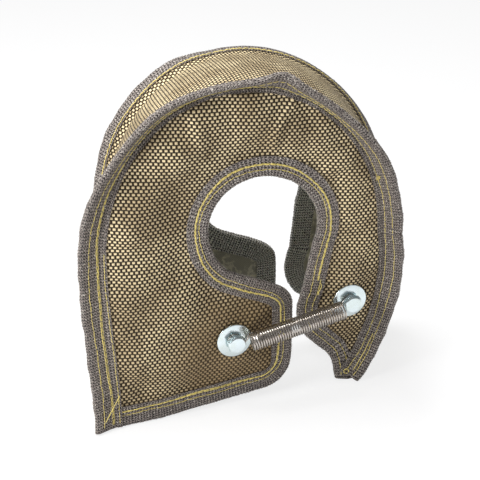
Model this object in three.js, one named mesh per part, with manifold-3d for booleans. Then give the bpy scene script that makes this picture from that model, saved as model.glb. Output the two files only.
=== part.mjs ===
// Turbo heat blanket: a padded C-shaped cover that closes round a turbine housing with one spring.
// Millimetres, +Z up. The panel with the spring faces -Y. The blanket stands on its two legs.
import * as THREE from 'three';
import { mergeVertices } from 'three/addons/utils/BufferGeometryUtils.js';
import Module from 'manifold-3d';

const wasm = await Module();
wasm.setup();

// Body: two panels joined by a band, the gusset
const panelGap = 60; // between the seam planes of the front and the back panel
const springingHeight = 103; // where the straight sides turn into the crown
const frontLeftHalfWidth = 84;
const frontRightHalfWidth = 81;
const frontCrownRise = 96;
const backHalfWidth = 81;
const crownStep = 3; // how much lower the back crown stands than the front one
const backCrownRise = frontCrownRise - crownStep;
const backOffsetX = 6; // the back panel sits a little to the right of the front one
const leftFootSplay = 5; // how far the left side comes in at the floor
const toeX = 62; // where the right seam ends
const toeHeight = 6.4;
const sideBulge = 7; // how far the right side swells below the crown

// Opening edge: foot, slot, port and right leg
const portX = 9.5;
const portHeight = 112.5;
const portRadius = 33;
const slotX = 26.8;
const slotTopHeight = 60;
const footCornerRadius = 18;
const footRise = 5.6; // how far the left foot lifts between its flat and its corner
const footFlatLength = 27;
const throatX = 30.2; // the right flap comes nearest to the slot here
const throatHeight = 52;
const throatLength = 32;
const flankX = 34.6;
const kneeX = 38.7;
const legWidth = 10; // how the right leg's sloped edge bends on its way to the toe
const legSlope = 17;
const backSlotWidening = 3;

// Cloth, mat, liner and tape
const clothThickness = 0.9;
const linerThickness = 0.7;
const tapeThickness = 0.7;
const pillowHeight = 5.4; // how far the outer cloth crowns
const matDepth = 2.5; // how far the mat reaches in from the seam plane
const matTaper = 0.6; // how much the mat thins at its edge by the seam
const puckerDepth = 0.8;
const gussetBulge = 2;
const finWidth = 12.3; // seam allowance with its binding
const hemWidth = 8.4; // what the opening binding covers of the cloth
const clearance = 0.3;

// Lean of the seam fins from straight out towards the front or the back, in degrees
const frontFinLeft = 10;
const frontFinRight = 38;
const frontFinCrown = 65;
const backFinSide = 30;
const backFinCrown = 88;

// The soft body stands twisted: its legs lean back to the right more than its crown
const footTwist = 14.3;
const crownTwist = -1;

// Fasteners and spring
const leftAnchor = new THREE.Vector2(-8.5, 45.6);
const rightAnchor = new THREE.Vector2(61.7, 60.4);
const boltRadius = 3;
const headAcrossFlats = 10;
const headHeight = 4;
const headChamfer = 0.7;
const nutHeight = 5;
const boltTail = 2;
const washerRadius = 10.5;
const washerThickness = 1.6;
const innerWasherRadius = 9;
const wireDiameter = 1.1;
const coilRadius = 4.7;
const hookReachLeft = 7.8; // from the bolt to the first coil
const hookReachRight = 6.6;
const springLift = 0.45;

// Named finishes
const finish = {
  lavaCloth: { color: 0x8a7448, roughness: 0.55, metalness: 0.1 },
  mat: { color: 0xb9b4a6, roughness: 0.95, metalness: 0 },
  linerMesh: { color: 0x3a3a2e, roughness: 0.8, metalness: 0.2 },
  wireTape: { color: 0x7d7470, roughness: 0.6, metalness: 0.35 },
  zinc: { color: 0xc9d6dc, roughness: 0.25, metalness: 1 },
  springSteel: { color: 0x9a948c, roughness: 0.22, metalness: 1 },
};

const { clamp, degToRad, lerp, smoothstep } = THREE.MathUtils;
const halfGap = panelGap / 2;
const clothFace = clearance / 2 + clothThickness;
const linerFace = clearance / 2 + linerThickness;
const tapeInner = clothFace + clearance;
const tapeOuter = tapeInner + tapeThickness;
const foldInner = clearance + 0.1;
const foldOuter = foldInner + tapeThickness;
const hemZone = hemWidth + 1.3; // flat cloth under the binding
const matStart = hemZone + 5.5;
const stackDepth = matDepth + linerFace;
const seamInset = stackDepth + 1.2; // mats and liners of the panels stop short of the gusset's

const group = new THREE.Group();

// Twist of the whole body about a vertical line at x = -backOffsetX
function leanBack(x, z) {
  const turn = lerp(footTwist, crownTwist, z / (springingHeight + frontCrownRise));
  return (x + backOffsetX) * Math.tan(degToRad(turn));
}

// side is -1 for the front panel and +1 for the back one; face is measured outwards from its seam plane
function place(side, x, z, face) {
  return new THREE.Vector3(x, side * (halfGap + face) + leanBack(x, z), z);
}

// Columns in turned have their quads split along the other diagonal, to match the piece they lie on
function solidFromStrip(sections, turned = []) {
  const points = [];
  const count = sections[0].outer.length;
  for (const section of sections) points.push(...section.outer, ...section.inner);
  const at = (row, side, column) => row * 2 * count + side * count + column;
  const index = [];
  const quad = (a, b, c, d, turn = false) => index.push(...(turn ? [a, b, d, b, c, d] : [a, b, c, a, c, d]));
  const last = sections.length - 1;
  for (let row = 0; row < last; row += 1) {
    for (let column = 0; column < count - 1; column += 1) {
      const next = column + 1;
      const turn = turned.includes(column);
      quad(at(row, 0, column), at(row, 0, next), at(row + 1, 0, next), at(row + 1, 0, column), turn);
      quad(at(row, 1, column), at(row + 1, 1, column), at(row + 1, 1, next), at(row, 1, next), turn);
    }
    quad(at(row, 1, 0), at(row, 0, 0), at(row + 1, 0, 0), at(row + 1, 1, 0));
    quad(at(row, 0, count - 1), at(row, 1, count - 1), at(row + 1, 1, count - 1), at(row + 1, 0, count - 1));
  }
  for (let column = 0; column < count - 1; column += 1) {
    quad(at(0, 0, column + 1), at(0, 0, column), at(0, 1, column), at(0, 1, column + 1));
    quad(at(last, 0, column), at(last, 0, column + 1), at(last, 1, column + 1), at(last, 1, column));
  }
  return closedGeometry(points, index);
}

function closedGeometry(points, index) {
  let volume = 0;
  for (let i = 0; i < index.length; i += 3) {
    const [a, b, c] = [points[index[i]], points[index[i + 1]], points[index[i + 2]]];
    volume += a.dot(new THREE.Vector3().crossVectors(b, c));
  }
  if (volume < 0) index.reverse();
  const geometry = new THREE.BufferGeometry().setFromPoints(points);
  geometry.setIndex(index);
  return geometry;
}

// Booleans
function toManifold(geometry) {
  const bare = geometry.clone();
  bare.deleteAttribute('normal');
  bare.deleteAttribute('uv');
  const merged = mergeVertices(bare, 1e-4);
  const vertProperties = new Float32Array(merged.attributes.position.array);
  const triVerts = new Uint32Array(merged.index.array);
  return new wasm.Manifold(new wasm.Mesh({ numProp: 3, vertProperties, triVerts }));
}

function fromManifold(solid) {
  const mesh = solid.getMesh();
  const geometry = new THREE.BufferGeometry();
  geometry.setAttribute('position', new THREE.BufferAttribute(new Float32Array(mesh.vertProperties), 3));
  geometry.setIndex(new THREE.BufferAttribute(new Uint32Array(mesh.triVerts), 1));
  return geometry;
}

function addPiece(name, geometry, look) {
  const mesh = new THREE.Mesh(geometry, new THREE.MeshStandardMaterial(look));
  mesh.name = name;
  geometry.computeVertexNormals();
  group.add(mesh);
  return mesh;
}

// Outlines in the panel plane, as 2D points (x, height)
function seamPath(side) {
  const front = side < 0;
  const centre = front ? 0 : backOffsetX;
  const left = front ? frontLeftHalfWidth : backHalfWidth;
  const right = front ? frontRightHalfWidth : backHalfWidth;
  const rise = front ? frontCrownRise : backCrownRise;
  const path = new THREE.Path();
  path.moveTo(centre - left + leftFootSplay, foldOuter);
  path.bezierCurveTo(
    centre - left + leftFootSplay, springingHeight * 0.35,
    centre - left, springingHeight * 0.6,
    centre - left, springingHeight,
  );
  path.absellipse(centre, springingHeight, left, rise, Math.PI, Math.PI / 2, true);
  path.absellipse(centre, springingHeight, right, rise, Math.PI / 2, 0, true);
  const top = centre + right;
  path.bezierCurveTo(
    top + sideBulge, springingHeight * 0.7,
    top - 3, springingHeight * 0.27,
    toeX + centre, toeHeight,
  );
  return path;
}

// The opening edge runs up the slot, round the port and down the right leg.
// Each station pairs a point of it with a share of the seam's length.
function edgeStations(side) {
  const front = side < 0;
  const wide = front ? 0 : backSlotWidening;
  const footLift = front ? footRise : 0;
  const slotStart = foldOuter + footLift + footCornerRadius;
  const stations = [];
  const rows = (count, seamFrom, seamTo, pointAt, blendAt = () => 0) => {
    for (let i = stations.length ? 1 : 0; i <= count; i += 1) {
      const share = i / count;
      stations.push({ point: pointAt(share), seam: lerp(seamFrom, seamTo, share), blend: blendAt(share) });
    }
  };
  const onPort = (degrees) => {
    const angle = degToRad(degrees);
    return new THREE.Vector2(portX + portRadius * Math.cos(angle), portHeight + portRadius * Math.sin(angle));
  };
  const portEntry = 233;
  const portExit = -20;

  const slotShares = [0, 0.17, 0.34, 0.67, 1];
  const slotSeams = [0, 0.0205, 0.0365, 0.062, 0.09];
  const footBlends = [1, 0.85, 0.5, 0.15, 0];
  slotShares.forEach((share, i) => stations.push({
    point: new THREE.Vector2(slotX, lerp(slotStart, slotTopHeight, share)),
    seam: slotSeams[i],
    blend: footBlends[i],
  }));
  const shoulder = new THREE.CubicBezierCurve(
    new THREE.Vector2(slotX, slotTopHeight),
    new THREE.Vector2(slotX, slotTopHeight + 14),
    new THREE.Vector2(portX + 1, portHeight - portRadius - 3.5),
    onPort(portEntry),
  );
  rows(4, 0.09, 0.165, (share) => shoulder.getPointAt(share));
  rows(3, 0.165, 0.225, (share) => onPort(lerp(portEntry, 180, share)));
  rows(13, 0.225, 0.775, (share) => onPort(lerp(180, 0, share)));
  rows(1, 0.775, 0.81, (share) => onPort(lerp(0, portExit, share)));
  const flankEnd = new THREE.Vector2(flankX + wide, throatHeight + throatLength / 2);
  const flank = new THREE.LineCurve(onPort(portExit), flankEnd);
  rows(2, 0.81, 0.875, (share) => flank.getPointAt(share));
  const knee = new THREE.Vector2(kneeX + wide, throatHeight - throatLength / 2);
  const throat = new THREE.CubicBezierCurve(
    flankEnd,
    new THREE.Vector2(throatX + wide, throatHeight + throatLength / 6),
    new THREE.Vector2(throatX + wide, throatHeight - throatLength / 6),
    knee,
  );
  rows(4, 0.875, 0.93, (share) => throat.getPointAt(share));
  const legCentre = front ? 0 : backOffsetX;
  const leg = new THREE.QuadraticBezierCurve(
    knee,
    new THREE.Vector2(toeX + legCentre - legWidth, toeHeight + legSlope),
    new THREE.Vector2(toeX + legCentre - 1, toeHeight + 2.8),
  );
  rows(3, 0.93, 1, (share) => leg.getPointAt(share));
  return stations;
}

// Height of the left foot's lower edge
function footHeight(side, x, footStart) {
  const lift = side < 0 ? footRise : 0;
  const cornerStart = slotX - footCornerRadius;
  const flatEnd = footStart + footFlatLength;
  if (x > cornerStart) {
    const inside = Math.max(0, footCornerRadius ** 2 - (x - cornerStart) ** 2);
    return foldOuter + lift + footCornerRadius - Math.sqrt(inside);
  }
  return foldOuter + lift * clamp((x - flatEnd) / (cornerStart - flatEnd), 0, 1);
}

function distanceToLine(point, line) {
  let nearest = Infinity;
  for (let i = 0; i < line.length - 1; i += 1) {
    const start = line[i];
    const step = line[i + 1].clone().sub(start);
    const along = clamp(point.clone().sub(start).dot(step) / step.lengthSq(), 0, 1);
    nearest = Math.min(nearest, point.distanceTo(start.clone().addScaledVector(step, along)));
  }
  return nearest;
}

function outwardNormal(before, after) {
  return new THREE.Vector2(before.y - after.y, after.x - before.x).normalize();
}

// Everything that one panel's pieces share
function panelLayout(side) {
  const path = seamPath(side);
  const stations = edgeStations(side);
  const seam = stations.map((station) => path.getPoint(station.seam));
  const edge = stations.map((station) => station.point);
  const footStart = seam[0].x;
  const foot = [];
  const footSteps = 24;
  for (let i = 0; i < footSteps; i += 1) {
    const x = lerp(footStart, slotX, i / footSteps);
    foot.push(new THREE.Vector2(x, footHeight(side, x, footStart)));
  }
  const opening = [...foot, ...edge];
  const normals = seam.map((point, i) => {
    const before = seam[Math.max(0, i - 1)];
    const after = seam[Math.min(seam.length - 1, i + 1)];
    return i === 0 ? new THREE.Vector2(-1, 0) : outwardNormal(before, after);
  });
  const seamLength = path.getLength();
  const crown = (point) => {
    const fromEdge = distanceToLine(point, opening);
    const fromSeam = distanceToLine(point, seam);
    const rise = smoothstep(fromEdge, hemZone + 1.5, hemZone + 23);
    const fall = 1 - (1 - clamp(fromSeam / 28, 0, 1)) ** 2;
    const room = smoothstep(fromEdge + fromSeam, 26, 46);
    return { rise, fall, room, fromEdge, fromSeam };
  };
  const pillow = (point) => {
    const { rise, fall, room, fromSeam } = crown(point);
    const angle = Math.atan2(point.y - portHeight, point.x - portX);
    const upper = smoothstep(point.y, portHeight - 20, portHeight + 20);
    const pucker = Math.cos(angle * 9) * smoothstep(fromSeam, 2, 14) * upper;
    return rise * room * (pillowHeight * fall + puckerDepth * pucker);
  };
  const padding = (point) => matDepth * smoothstep(crown(point).fromEdge, hemZone + 3, matStart + 5);
  // The point of one row at a distance from the opening edge
  const across = (row, distance) => {
    const span = seam[row].clone().sub(edge[row]);
    const share = distance / span.length();
    const point = edge[row].clone().addScaledVector(span, share);
    const { blend } = stations[row];
    if (blend > 0) {
      const footPoint = new THREE.Vector2(lerp(slotX, footStart, share), 0);
      footPoint.y = footHeight(side, footPoint.x, footStart);
      const firstRow = edge[0].clone().lerp(seam[0], share);
      point.add(footPoint.sub(firstRow).multiplyScalar(blend));
    }
    return point;
  };
  const span = edge.map((point, i) => point.distanceTo(seam[i]));
  // Distances of the grid columns from the opening edge, squeezed where the leg narrows
  const columns = edge.map((point, row) => {
    const before = edge[Math.max(0, row - 1)];
    const after = edge[Math.min(edge.length - 1, row + 1)];
    const direction = seam[row].clone().sub(point).normalize();
    const slant = clamp(1 / direction.dot(outwardNormal(before, after)), 1, 3);
    const rest = span[row] - slant * matStart;
    if (rest < 10) return [0, 0.25, 0.45, 0.64, 0.82, 1].map((share) => share * span[row]);
    const hem = [0, hemZone + 0.1, matStart].map((distance) => distance * slant);
    return [...hem, hem[2] + 0.35 * rest, hem[2] + 0.7 * rest, span[row]];
  });
  // Beyond the last column the cloth runs straight to the seam
  const along = (row, distance) => {
    const lastColumn = columns[row].at(-2);
    if (distance <= lastColumn) return across(row, distance);
    return across(row, lastColumn).lerp(seam[row], (distance - lastColumn) / (span[row] - lastColumn));
  };
  return {
    side, stations, seam, edge, footStart, normals, seamLength, pillow, padding, across: along, span, columns,
  };
}

const layouts = { front: panelLayout(-1), back: panelLayout(1) };
const rowCount = layouts.front.seam.length;

// Lean of the fin at one row of the seam
function finLean(layout, row) {
  const normal = layout.normals[row];
  const overTop = smoothstep(normal.y, -0.35, 0.95);
  if (layout.side > 0) return degToRad(lerp(backFinSide, backFinCrown, overTop));
  const atSide = lerp(frontFinLeft, frontFinRight, smoothstep(normal.x, -0.4, 0.4));
  return degToRad(lerp(atSide, frontFinCrown, overTop));
}

// A point of the fin: along it from the seam, and above its middle towards the panel
function finPoint(layout, row, along, above) {
  const lean = finLean(layout, row);
  const normal = layout.normals[row];
  const out = along * Math.cos(lean) - above * Math.sin(lean);
  const face = along * Math.sin(lean) + above * Math.cos(lean);
  const base = layout.seam[row];
  return place(layout.side, base.x + normal.x * out, base.y + normal.y * out, face);
}

const finCloth = finWidth - tapeThickness - clearance;
const tapeStart = tapeOuter + 0.7; // the tape's edges stay clear of the crease at the seam

function outerCloth(layout) {
  const sections = [];
  for (let row = 0; row < rowCount; row += 1) {
    const outer = [];
    const inner = [];
    layout.columns[row].slice(0, -1).forEach((distance) => {
      const point = layout.across(row, distance);
      const rise = layout.pillow(point);
      outer.push(place(layout.side, point.x, point.y, clothFace + rise));
      inner.push(place(layout.side, point.x, point.y, clearance / 2 + rise));
    });
    const mitre = Math.tan(finLean(layout, row) / 2);
    outer.push(finPoint(layout, row, mitre * clothFace, clothFace));
    inner.push(finPoint(layout, row, mitre * clearance / 2, clearance / 2));
    for (const along of [tapeStart, finCloth]) {
      outer.push(finPoint(layout, row, along, clothFace));
      inner.push(finPoint(layout, row, along, clearance / 2));
    }
    sections.push({ outer, inner });
  }
  return solidFromStrip(sections);
}

// Height of the outer cloth at a distance along a row, along the straight run to the seam
function clothRise(layout, row, distance) {
  const last = layout.columns[row].at(-2);
  if (distance <= last) return layout.pillow(layout.across(row, distance));
  const rise = layout.pillow(layout.across(row, last));
  return rise * (layout.span[row] - distance) / (layout.span[row] - last);
}

function insetColumns(layout, row, first) {
  const distances = layout.columns[row].slice(first, -1);
  return [...distances, layout.span[row] - seamInset];
}

const matRows = (layout) => layout.span
  .map((width, row) => ({ width, row }))
  .filter(({ width, row }) => row >= 2 && width > matStart + 10 + seamInset)
  .map(({ row }) => row);

const linerRows = (layout) => layout.span
  .map((width, row) => ({ width, row }))
  .filter(({ width }) => width > matStart + 10 + seamInset)
  .map(({ row }) => row);

function panelMat(layout) {
  const sections = matRows(layout).map((row) => {
    const outer = [];
    const inner = [];
    insetColumns(layout, row, 2).forEach((distance, i, all) => {
      const point = layout.across(row, distance);
      const taper = i === all.length - 1 ? matTaper : 0;
      const rise = Math.max(0, 0.95 * clothRise(layout, row, distance) - taper);
      outer.push(place(layout.side, point.x, point.y, rise - clearance / 2));
      inner.push(place(layout.side, point.x, point.y, clearance / 2 - layout.padding(point)));
    });
    return { outer, inner };
  });
  return solidFromStrip(sections);
}

function panelLiner(layout) {
  const sections = linerRows(layout).map((row) => {
    const outer = [];
    const inner = [];
    insetColumns(layout, row, 0).forEach((distance) => {
      const point = layout.across(row, distance);
      const depth = layout.padding(point);
      outer.push(place(layout.side, point.x, point.y, -depth - clearance / 2));
      inner.push(place(layout.side, point.x, point.y, -depth - linerFace));
    });
    return { outer, inner };
  });
  return solidFromStrip(sections);
}

// Gusset: rows along the seams, columns across from the front seam to the back one
const gussetShares = [0.14, 0.38, 0.62, 0.86];
const endFlat = 12; // flat length of the gusset under its end bindings
const endCrowning = 20; // how far from its ends the gusset reaches its full bulge

function gussetPoint(row, share, out) {
  const { front, back } = layouts;
  const point = front.seam[row].clone().lerp(back.seam[row], share);
  const normal = front.normals[row].clone().lerp(back.normals[row], share).normalize();
  const x = point.x + normal.x * out;
  const z = point.y + normal.y * out;
  return new THREE.Vector3(x, lerp(-halfGap, halfGap, share) + leanBack(x, z), z);
}

function endShare(row, from, to) {
  const { front } = layouts;
  const along = front.stations[row].seam * front.seamLength;
  return smoothstep(Math.min(along, front.seamLength - along), from, to);
}

const gussetRise = (row, share) => gussetBulge * 4 * share * (1 - share) * endShare(row, hemZone, hemZone + endCrowning);
const gussetDepth = (row) => matDepth * endShare(row, endFlat, endFlat + 5);

function gussetCloth() {
  const sections = [];
  for (let row = 0; row < rowCount; row += 1) {
    const strip = (face) => {
      const { front, back } = layouts;
      const frontMitre = Math.tan((Math.PI / 2 - finLean(front, row)) / 2) * face;
      const backMitre = Math.tan((Math.PI / 2 - finLean(back, row)) / 2) * face;
      return [
        finPoint(front, row, finCloth, -face),
        finPoint(front, row, tapeStart, -face),
        finPoint(front, row, frontMitre, -face),
        ...gussetShares.map((share) => gussetPoint(row, share, face + gussetRise(row, share))),
        finPoint(back, row, backMitre, -face),
        finPoint(back, row, tapeStart, -face),
        finPoint(back, row, finCloth, -face),
      ];
    };
    sections.push({ outer: strip(clothFace), inner: strip(clearance / 2) });
  }
  return solidFromStrip(sections, [0, 1]);
}

function gussetLayer(rows, outerAt, innerAt) {
  const edgeShare = clearance / panelGap;
  const shares = [edgeShare, ...gussetShares, 1 - edgeShare];
  const sections = rows.map((row) => ({
    outer: shares.map((share) => gussetPoint(row, share, outerAt(row, share))),
    inner: shares.map((share) => gussetPoint(row, share, innerAt(row, share))),
  }));
  return solidFromStrip(sections);
}

const allRows = layouts.front.seam.map((point, row) => row);
const paddedRows = allRows.filter((row) => gussetDepth(row) > matDepth - 0.01);

function straightRise(row, share) {
  const first = gussetShares[0];
  const nearest = Math.min(share, 1 - share);
  return nearest >= first ? gussetRise(row, share) : gussetRise(row, first) * nearest / first;
}

const gussetMat = () => gussetLayer(
  paddedRows,
  (row, share) => straightRise(row, share) - clearance / 2,
  (row) => clearance / 2 - gussetDepth(row),
);

const gussetLiner = () => gussetLayer(
  allRows,
  (row) => -gussetDepth(row) - clearance / 2,
  (row) => -gussetDepth(row) - linerFace,
);

// Folded tape on a seam fin
function perimeterBinding(layout) {
  const profile = (reach, thickness) => [
    [tapeStart, thickness],
    [reach, thickness],
    [reach, -thickness],
    [tapeStart, -thickness],
  ];
  const sections = layout.seam.map((point, row) => ({
    outer: profile(finWidth, tapeOuter).map(([along, above]) => finPoint(layout, row, along, above)),
    inner: profile(finWidth - tapeThickness, tapeInner)
      .map(([along, above]) => finPoint(layout, row, along, above)),
  }));
  return solidFromStrip(sections, [2]);
}

// Folded tape round the opening: along the foot, up the slot, round the port and down the leg
function openingBinding(layout) {
  const { side, edge, seam, footStart } = layout;
  const footPoints = layout.columns[0].slice(1, -1).map((distance) => layout.across(0, distance)).reverse();
  const firstX = footStart + linerFace + 2 * clearance;
  const first = new THREE.Vector2(firstX, footHeight(side, firstX, footStart));
  const line = [first, ...footPoints, ...edge];
  const footCount = footPoints.length + 1;
  const innerFace = linerFace + clearance;
  const sections = line.map((point, i) => {
    const before = line[Math.max(0, i - 1)];
    const after = line[Math.min(line.length - 1, i + 1)];
    const normal = outwardNormal(before, after).negate();
    const depth = i < footCount ? 0 : gussetDepth(i - footCount);
    const room = distanceToLine(point, seam) - depth - linerFace;
    const legs = i < footCount ? hemWidth : Math.min(hemWidth, room - 2 * clearance);
    const at = (out, face) => place(side, point.x + normal.x * out, point.y + normal.y * out, face);
    return {
      outer: [
        at(-legs, tapeOuter),
        at(foldOuter, tapeOuter),
        at(foldOuter, -innerFace - tapeThickness),
        at(-legs, -innerFace - tapeThickness),
      ],
      inner: [at(-legs, tapeInner), at(foldInner, tapeInner), at(foldInner, -innerFace), at(-legs, -innerFace)],
    };
  });
  return solidFromStrip(sections);
}

// Folded tape across one end of the gusset
function gussetEndBinding(row, nextRow) {
  const margin = (tapeOuter + 2 * clearance) / panelGap;
  const innerFace = linerFace + clearance;
  const sections = [margin, ...gussetShares, 1 - margin].map((share) => {
    const along = (out, face) => {
      const base = gussetPoint(row, share, face);
      const next = gussetPoint(nextRow, share, face);
      return base.addScaledVector(base.clone().sub(next).normalize(), out);
    };
    return {
      outer: [
        along(-hemWidth, tapeOuter),
        along(foldOuter, tapeOuter),
        along(foldOuter, -innerFace - tapeThickness),
        along(-hemWidth, -innerFace - tapeThickness),
      ],
      inner: [
        along(-hemWidth, tapeInner),
        along(foldInner, tapeInner),
        along(foldInner, -innerFace),
        along(-hemWidth, -innerFace),
      ],
    };
  });
  return solidFromStrip(sections);
}

// Anchors: both bolts stand square to the line between them
const { front } = layouts;
const clothPoint = (x, z) => place(-1, x, z, clothFace + front.pillow(new THREE.Vector2(x, z)));

function surfaceNormal({ x, y }) {
  const reach = washerRadius * 0.8;
  const acrossX = clothPoint(x + reach, y).sub(clothPoint(x - reach, y));
  const acrossZ = clothPoint(x, y + reach).sub(clothPoint(x, y - reach));
  return acrossX.cross(acrossZ).normalize();
}

const leftSpot = clothPoint(leftAnchor.x, leftAnchor.y);
const rightSpot = clothPoint(rightAnchor.x, rightAnchor.y);
const pull = rightSpot.clone().sub(leftSpot).normalize();
const boltAxis = surfaceNormal(leftAnchor).add(surfaceNormal(rightAnchor));
boltAxis.addScaledVector(pull, -boltAxis.dot(pull)).normalize();
const sideways = new THREE.Vector3().crossVectors(boltAxis, pull);

// The highest point of a cloth under a disc, along the bolt's axis
function seatHeight(geometry, spot, direction, radius) {
  const position = geometry.attributes.position;
  const index = geometry.index.array;
  const corner = (i) => new THREE.Vector3().fromBufferAttribute(position, index[i]).sub(spot);
  const steps = 8;
  let highest = -Infinity;
  for (let i = 0; i < index.length; i += 3) {
    const [a, b, c] = [corner(i), corner(i + 1), corner(i + 2)];
    if (Math.min(a.length(), b.length(), c.length()) > 4 * washerRadius) continue;
    for (let u = 0; u <= steps; u += 1) {
      for (let v = 0; v <= steps - u; v += 1) {
        const sample = a.clone().multiplyScalar(u / steps).addScaledVector(b, v / steps);
        sample.addScaledVector(c, 1 - (u + v) / steps);
        const height = sample.dot(direction);
        const aside = Math.sqrt(Math.max(0, sample.lengthSq() - height * height));
        if (aside < radius + 1 && Math.abs(height) < halfGap / 2) highest = Math.max(highest, height);
      }
    }
  }
  return highest;
}

function standOn(geometry, spot, height) {
  const basis = new THREE.Matrix4().makeBasis(pull, sideways, boltAxis);
  basis.setPosition(spot.clone().addScaledVector(boltAxis, height));
  return geometry.applyMatrix4(basis);
}

function disc(radius, bore, thickness, segments) {
  const shape = new THREE.Shape().absarc(0, 0, radius, 0, Math.PI * 2);
  shape.holes.push(new THREE.Path().absarc(0, 0, bore, 0, Math.PI * 2, true));
  return new THREE.ExtrudeGeometry(shape, { depth: thickness, bevelEnabled: false, curveSegments: segments });
}

function hexagon(acrossFlats) {
  const corner = acrossFlats / Math.sqrt(3);
  const points = [];
  for (let i = 0; i < 6; i += 1) {
    const angle = Math.PI / 6 + i * Math.PI / 3;
    points.push(new THREE.Vector2(corner * Math.cos(angle), corner * Math.sin(angle)));
  }
  return new THREE.Shape(points);
}

function hexNut() {
  const shape = hexagon(headAcrossFlats);
  shape.holes.push(new THREE.Path().absarc(0, 0, boltRadius + clearance, 0, Math.PI * 2, true));
  return new THREE.ExtrudeGeometry(shape, { depth: nutHeight, bevelEnabled: false, curveSegments: 10 });
}

// Bolt with its head's underside at z = 0 and its shank below
function hexBolt(shankLength) {
  const head = new THREE.ExtrudeGeometry(hexagon(headAcrossFlats), { depth: headHeight, bevelEnabled: false });
  const cap = new THREE.LatheGeometry([
    new THREE.Vector2(0, -1),
    new THREE.Vector2(headAcrossFlats, -1),
    new THREE.Vector2(headAcrossFlats / Math.sqrt(3) + headHeight, 0),
    new THREE.Vector2(headAcrossFlats / 2 - headChamfer / 2, headHeight),
    new THREE.Vector2(0, headHeight),
  ], 18).rotateX(Math.PI / 2);
  const shank = new THREE.CylinderGeometry(boltRadius, boltRadius, shankLength + 1, 16).rotateX(Math.PI / 2);
  shank.translate(0, 0, (1 - shankLength) / 2);
  const chamfered = toManifold(head).intersect(toManifold(cap));
  return fromManifold(chamfered.add(toManifold(shank)));
}

const hookHeight = washerThickness + 2 * clearance + wireDiameter / 2;

const cloths = {
  front_outer_fabric: outerCloth(layouts.front),
  front_insulation: panelMat(layouts.front),
  front_liner: panelLiner(layouts.front),
};

const seats = {};
for (const [name, spot] of [['left', leftSpot], ['right', rightSpot]]) {
  const inward = boltAxis.clone().negate();
  seats[name] = {
    spot,
    top: seatHeight(cloths.front_outer_fabric, spot, boltAxis, washerRadius),
    bottom: -seatHeight(cloths.front_liner, spot, inward, innerWasherRadius),
  };
}

// Bolt holes through the three layers of the front panel
for (const name of Object.keys(cloths)) {
  let solid = toManifold(cloths[name]);
  for (const { spot } of Object.values(seats)) {
    const drill = new THREE.CylinderGeometry(boltRadius + clearance, boltRadius + clearance, halfGap, 12);
    solid = solid.subtract(toManifold(standOn(drill.rotateX(Math.PI / 2), spot, 0)));
  }
  cloths[name] = fromManifold(solid);
}

// Spring: one wire, hook, close-wound body and hook
class WirePath extends THREE.Curve {
  constructor(points) {
    super();
    this.points = points;
  }

  getPoint(t, target = new THREE.Vector3()) {
    const place = t * (this.points.length - 1);
    const i = Math.min(Math.floor(place), this.points.length - 2);
    return target.lerpVectors(this.points[i], this.points[i + 1], place - i);
  }
}

function wireSolid(points, sides) {
  const rings = [];
  let normal = new THREE.Vector3();
  const path = new WirePath(points);
  points.forEach((point, i) => {
    const before = points[Math.max(0, i - 1)];
    const after = points[Math.min(path.points.length - 1, i + 1)];
    const tangent = after.clone().sub(before).normalize();
    if (i === 0) normal = new THREE.Vector3(0, 0, 1).cross(tangent);
    normal.addScaledVector(tangent, -normal.dot(tangent)).normalize();
    const binormal = new THREE.Vector3().crossVectors(tangent, normal);
    const ring = [];
    for (let side = 0; side < sides; side += 1) {
      const angle = side * 2 * Math.PI / sides;
      const corner = point.clone().addScaledVector(normal, Math.cos(angle) * wireDiameter / 2);
      ring.push(corner.addScaledVector(binormal, Math.sin(angle) * wireDiameter / 2));
    }
    rings.push(ring);
  });
  const index = [];
  for (let i = 0; i < rings.length - 1; i += 1) {
    for (let side = 0; side < sides; side += 1) {
      const next = (side + 1) % sides;
      const [a, b] = [i * sides + side, i * sides + next];
      index.push(a, b, b + sides, a, b + sides, a + sides);
    }
  }
  const last = (rings.length - 1) * sides;
  for (let side = 1; side < sides - 1; side += 1) {
    index.push(0, side + 1, side, last, last + side, last + side + 1);
  }
  return closedGeometry(rings.flat(), index);
}

function springWire() {
  const hookRadius = boltRadius + clearance + wireDiameter / 2;
  const left = leftSpot.clone().addScaledVector(boltAxis, seats.left.top + hookHeight);
  const right = rightSpot.clone().addScaledVector(boltAxis, seats.right.top + hookHeight);
  const along = right.clone().sub(left).normalize();
  const across = new THREE.Vector3().crossVectors(boltAxis, along).normalize();
  const up = new THREE.Vector3().crossVectors(along, across).normalize();
  const from = (origin, a, b, c = 0) => origin.clone()
    .addScaledVector(along, a).addScaledVector(across, b).addScaledVector(up, c);
  const bodyLength = right.distanceTo(left) - hookReachLeft - hookReachRight;
  const turns = Math.floor(bodyLength / (wireDiameter * 1.04));
  const segments = 6;
  const points = [];
  for (let degrees = 50; degrees <= 275; degrees += 25) {
    const angle = degToRad(degrees);
    points.push(from(left, hookRadius * Math.cos(angle), hookRadius * Math.sin(angle)));
  }
  points.push(from(left, hookReachLeft * 0.55, -hookRadius * 0.75, springLift / 2));
  for (let i = 0; i <= turns * segments; i += 1) {
    const angle = i * 2 * Math.PI / segments;
    const travel = hookReachLeft + bodyLength * i / (turns * segments);
    points.push(from(left, travel, coilRadius * Math.sin(angle), springLift + coilRadius * (1 - Math.cos(angle))));
  }
  points.push(from(right, -hookReachRight * 0.55, hookRadius * 0.75, springLift / 2));
  for (let degrees = 95; degrees >= -130; degrees -= 25) {
    const angle = degToRad(degrees);
    points.push(from(right, hookRadius * Math.cos(angle), hookRadius * Math.sin(angle)));
  }
  return wireSolid(points, 4);
}

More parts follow.
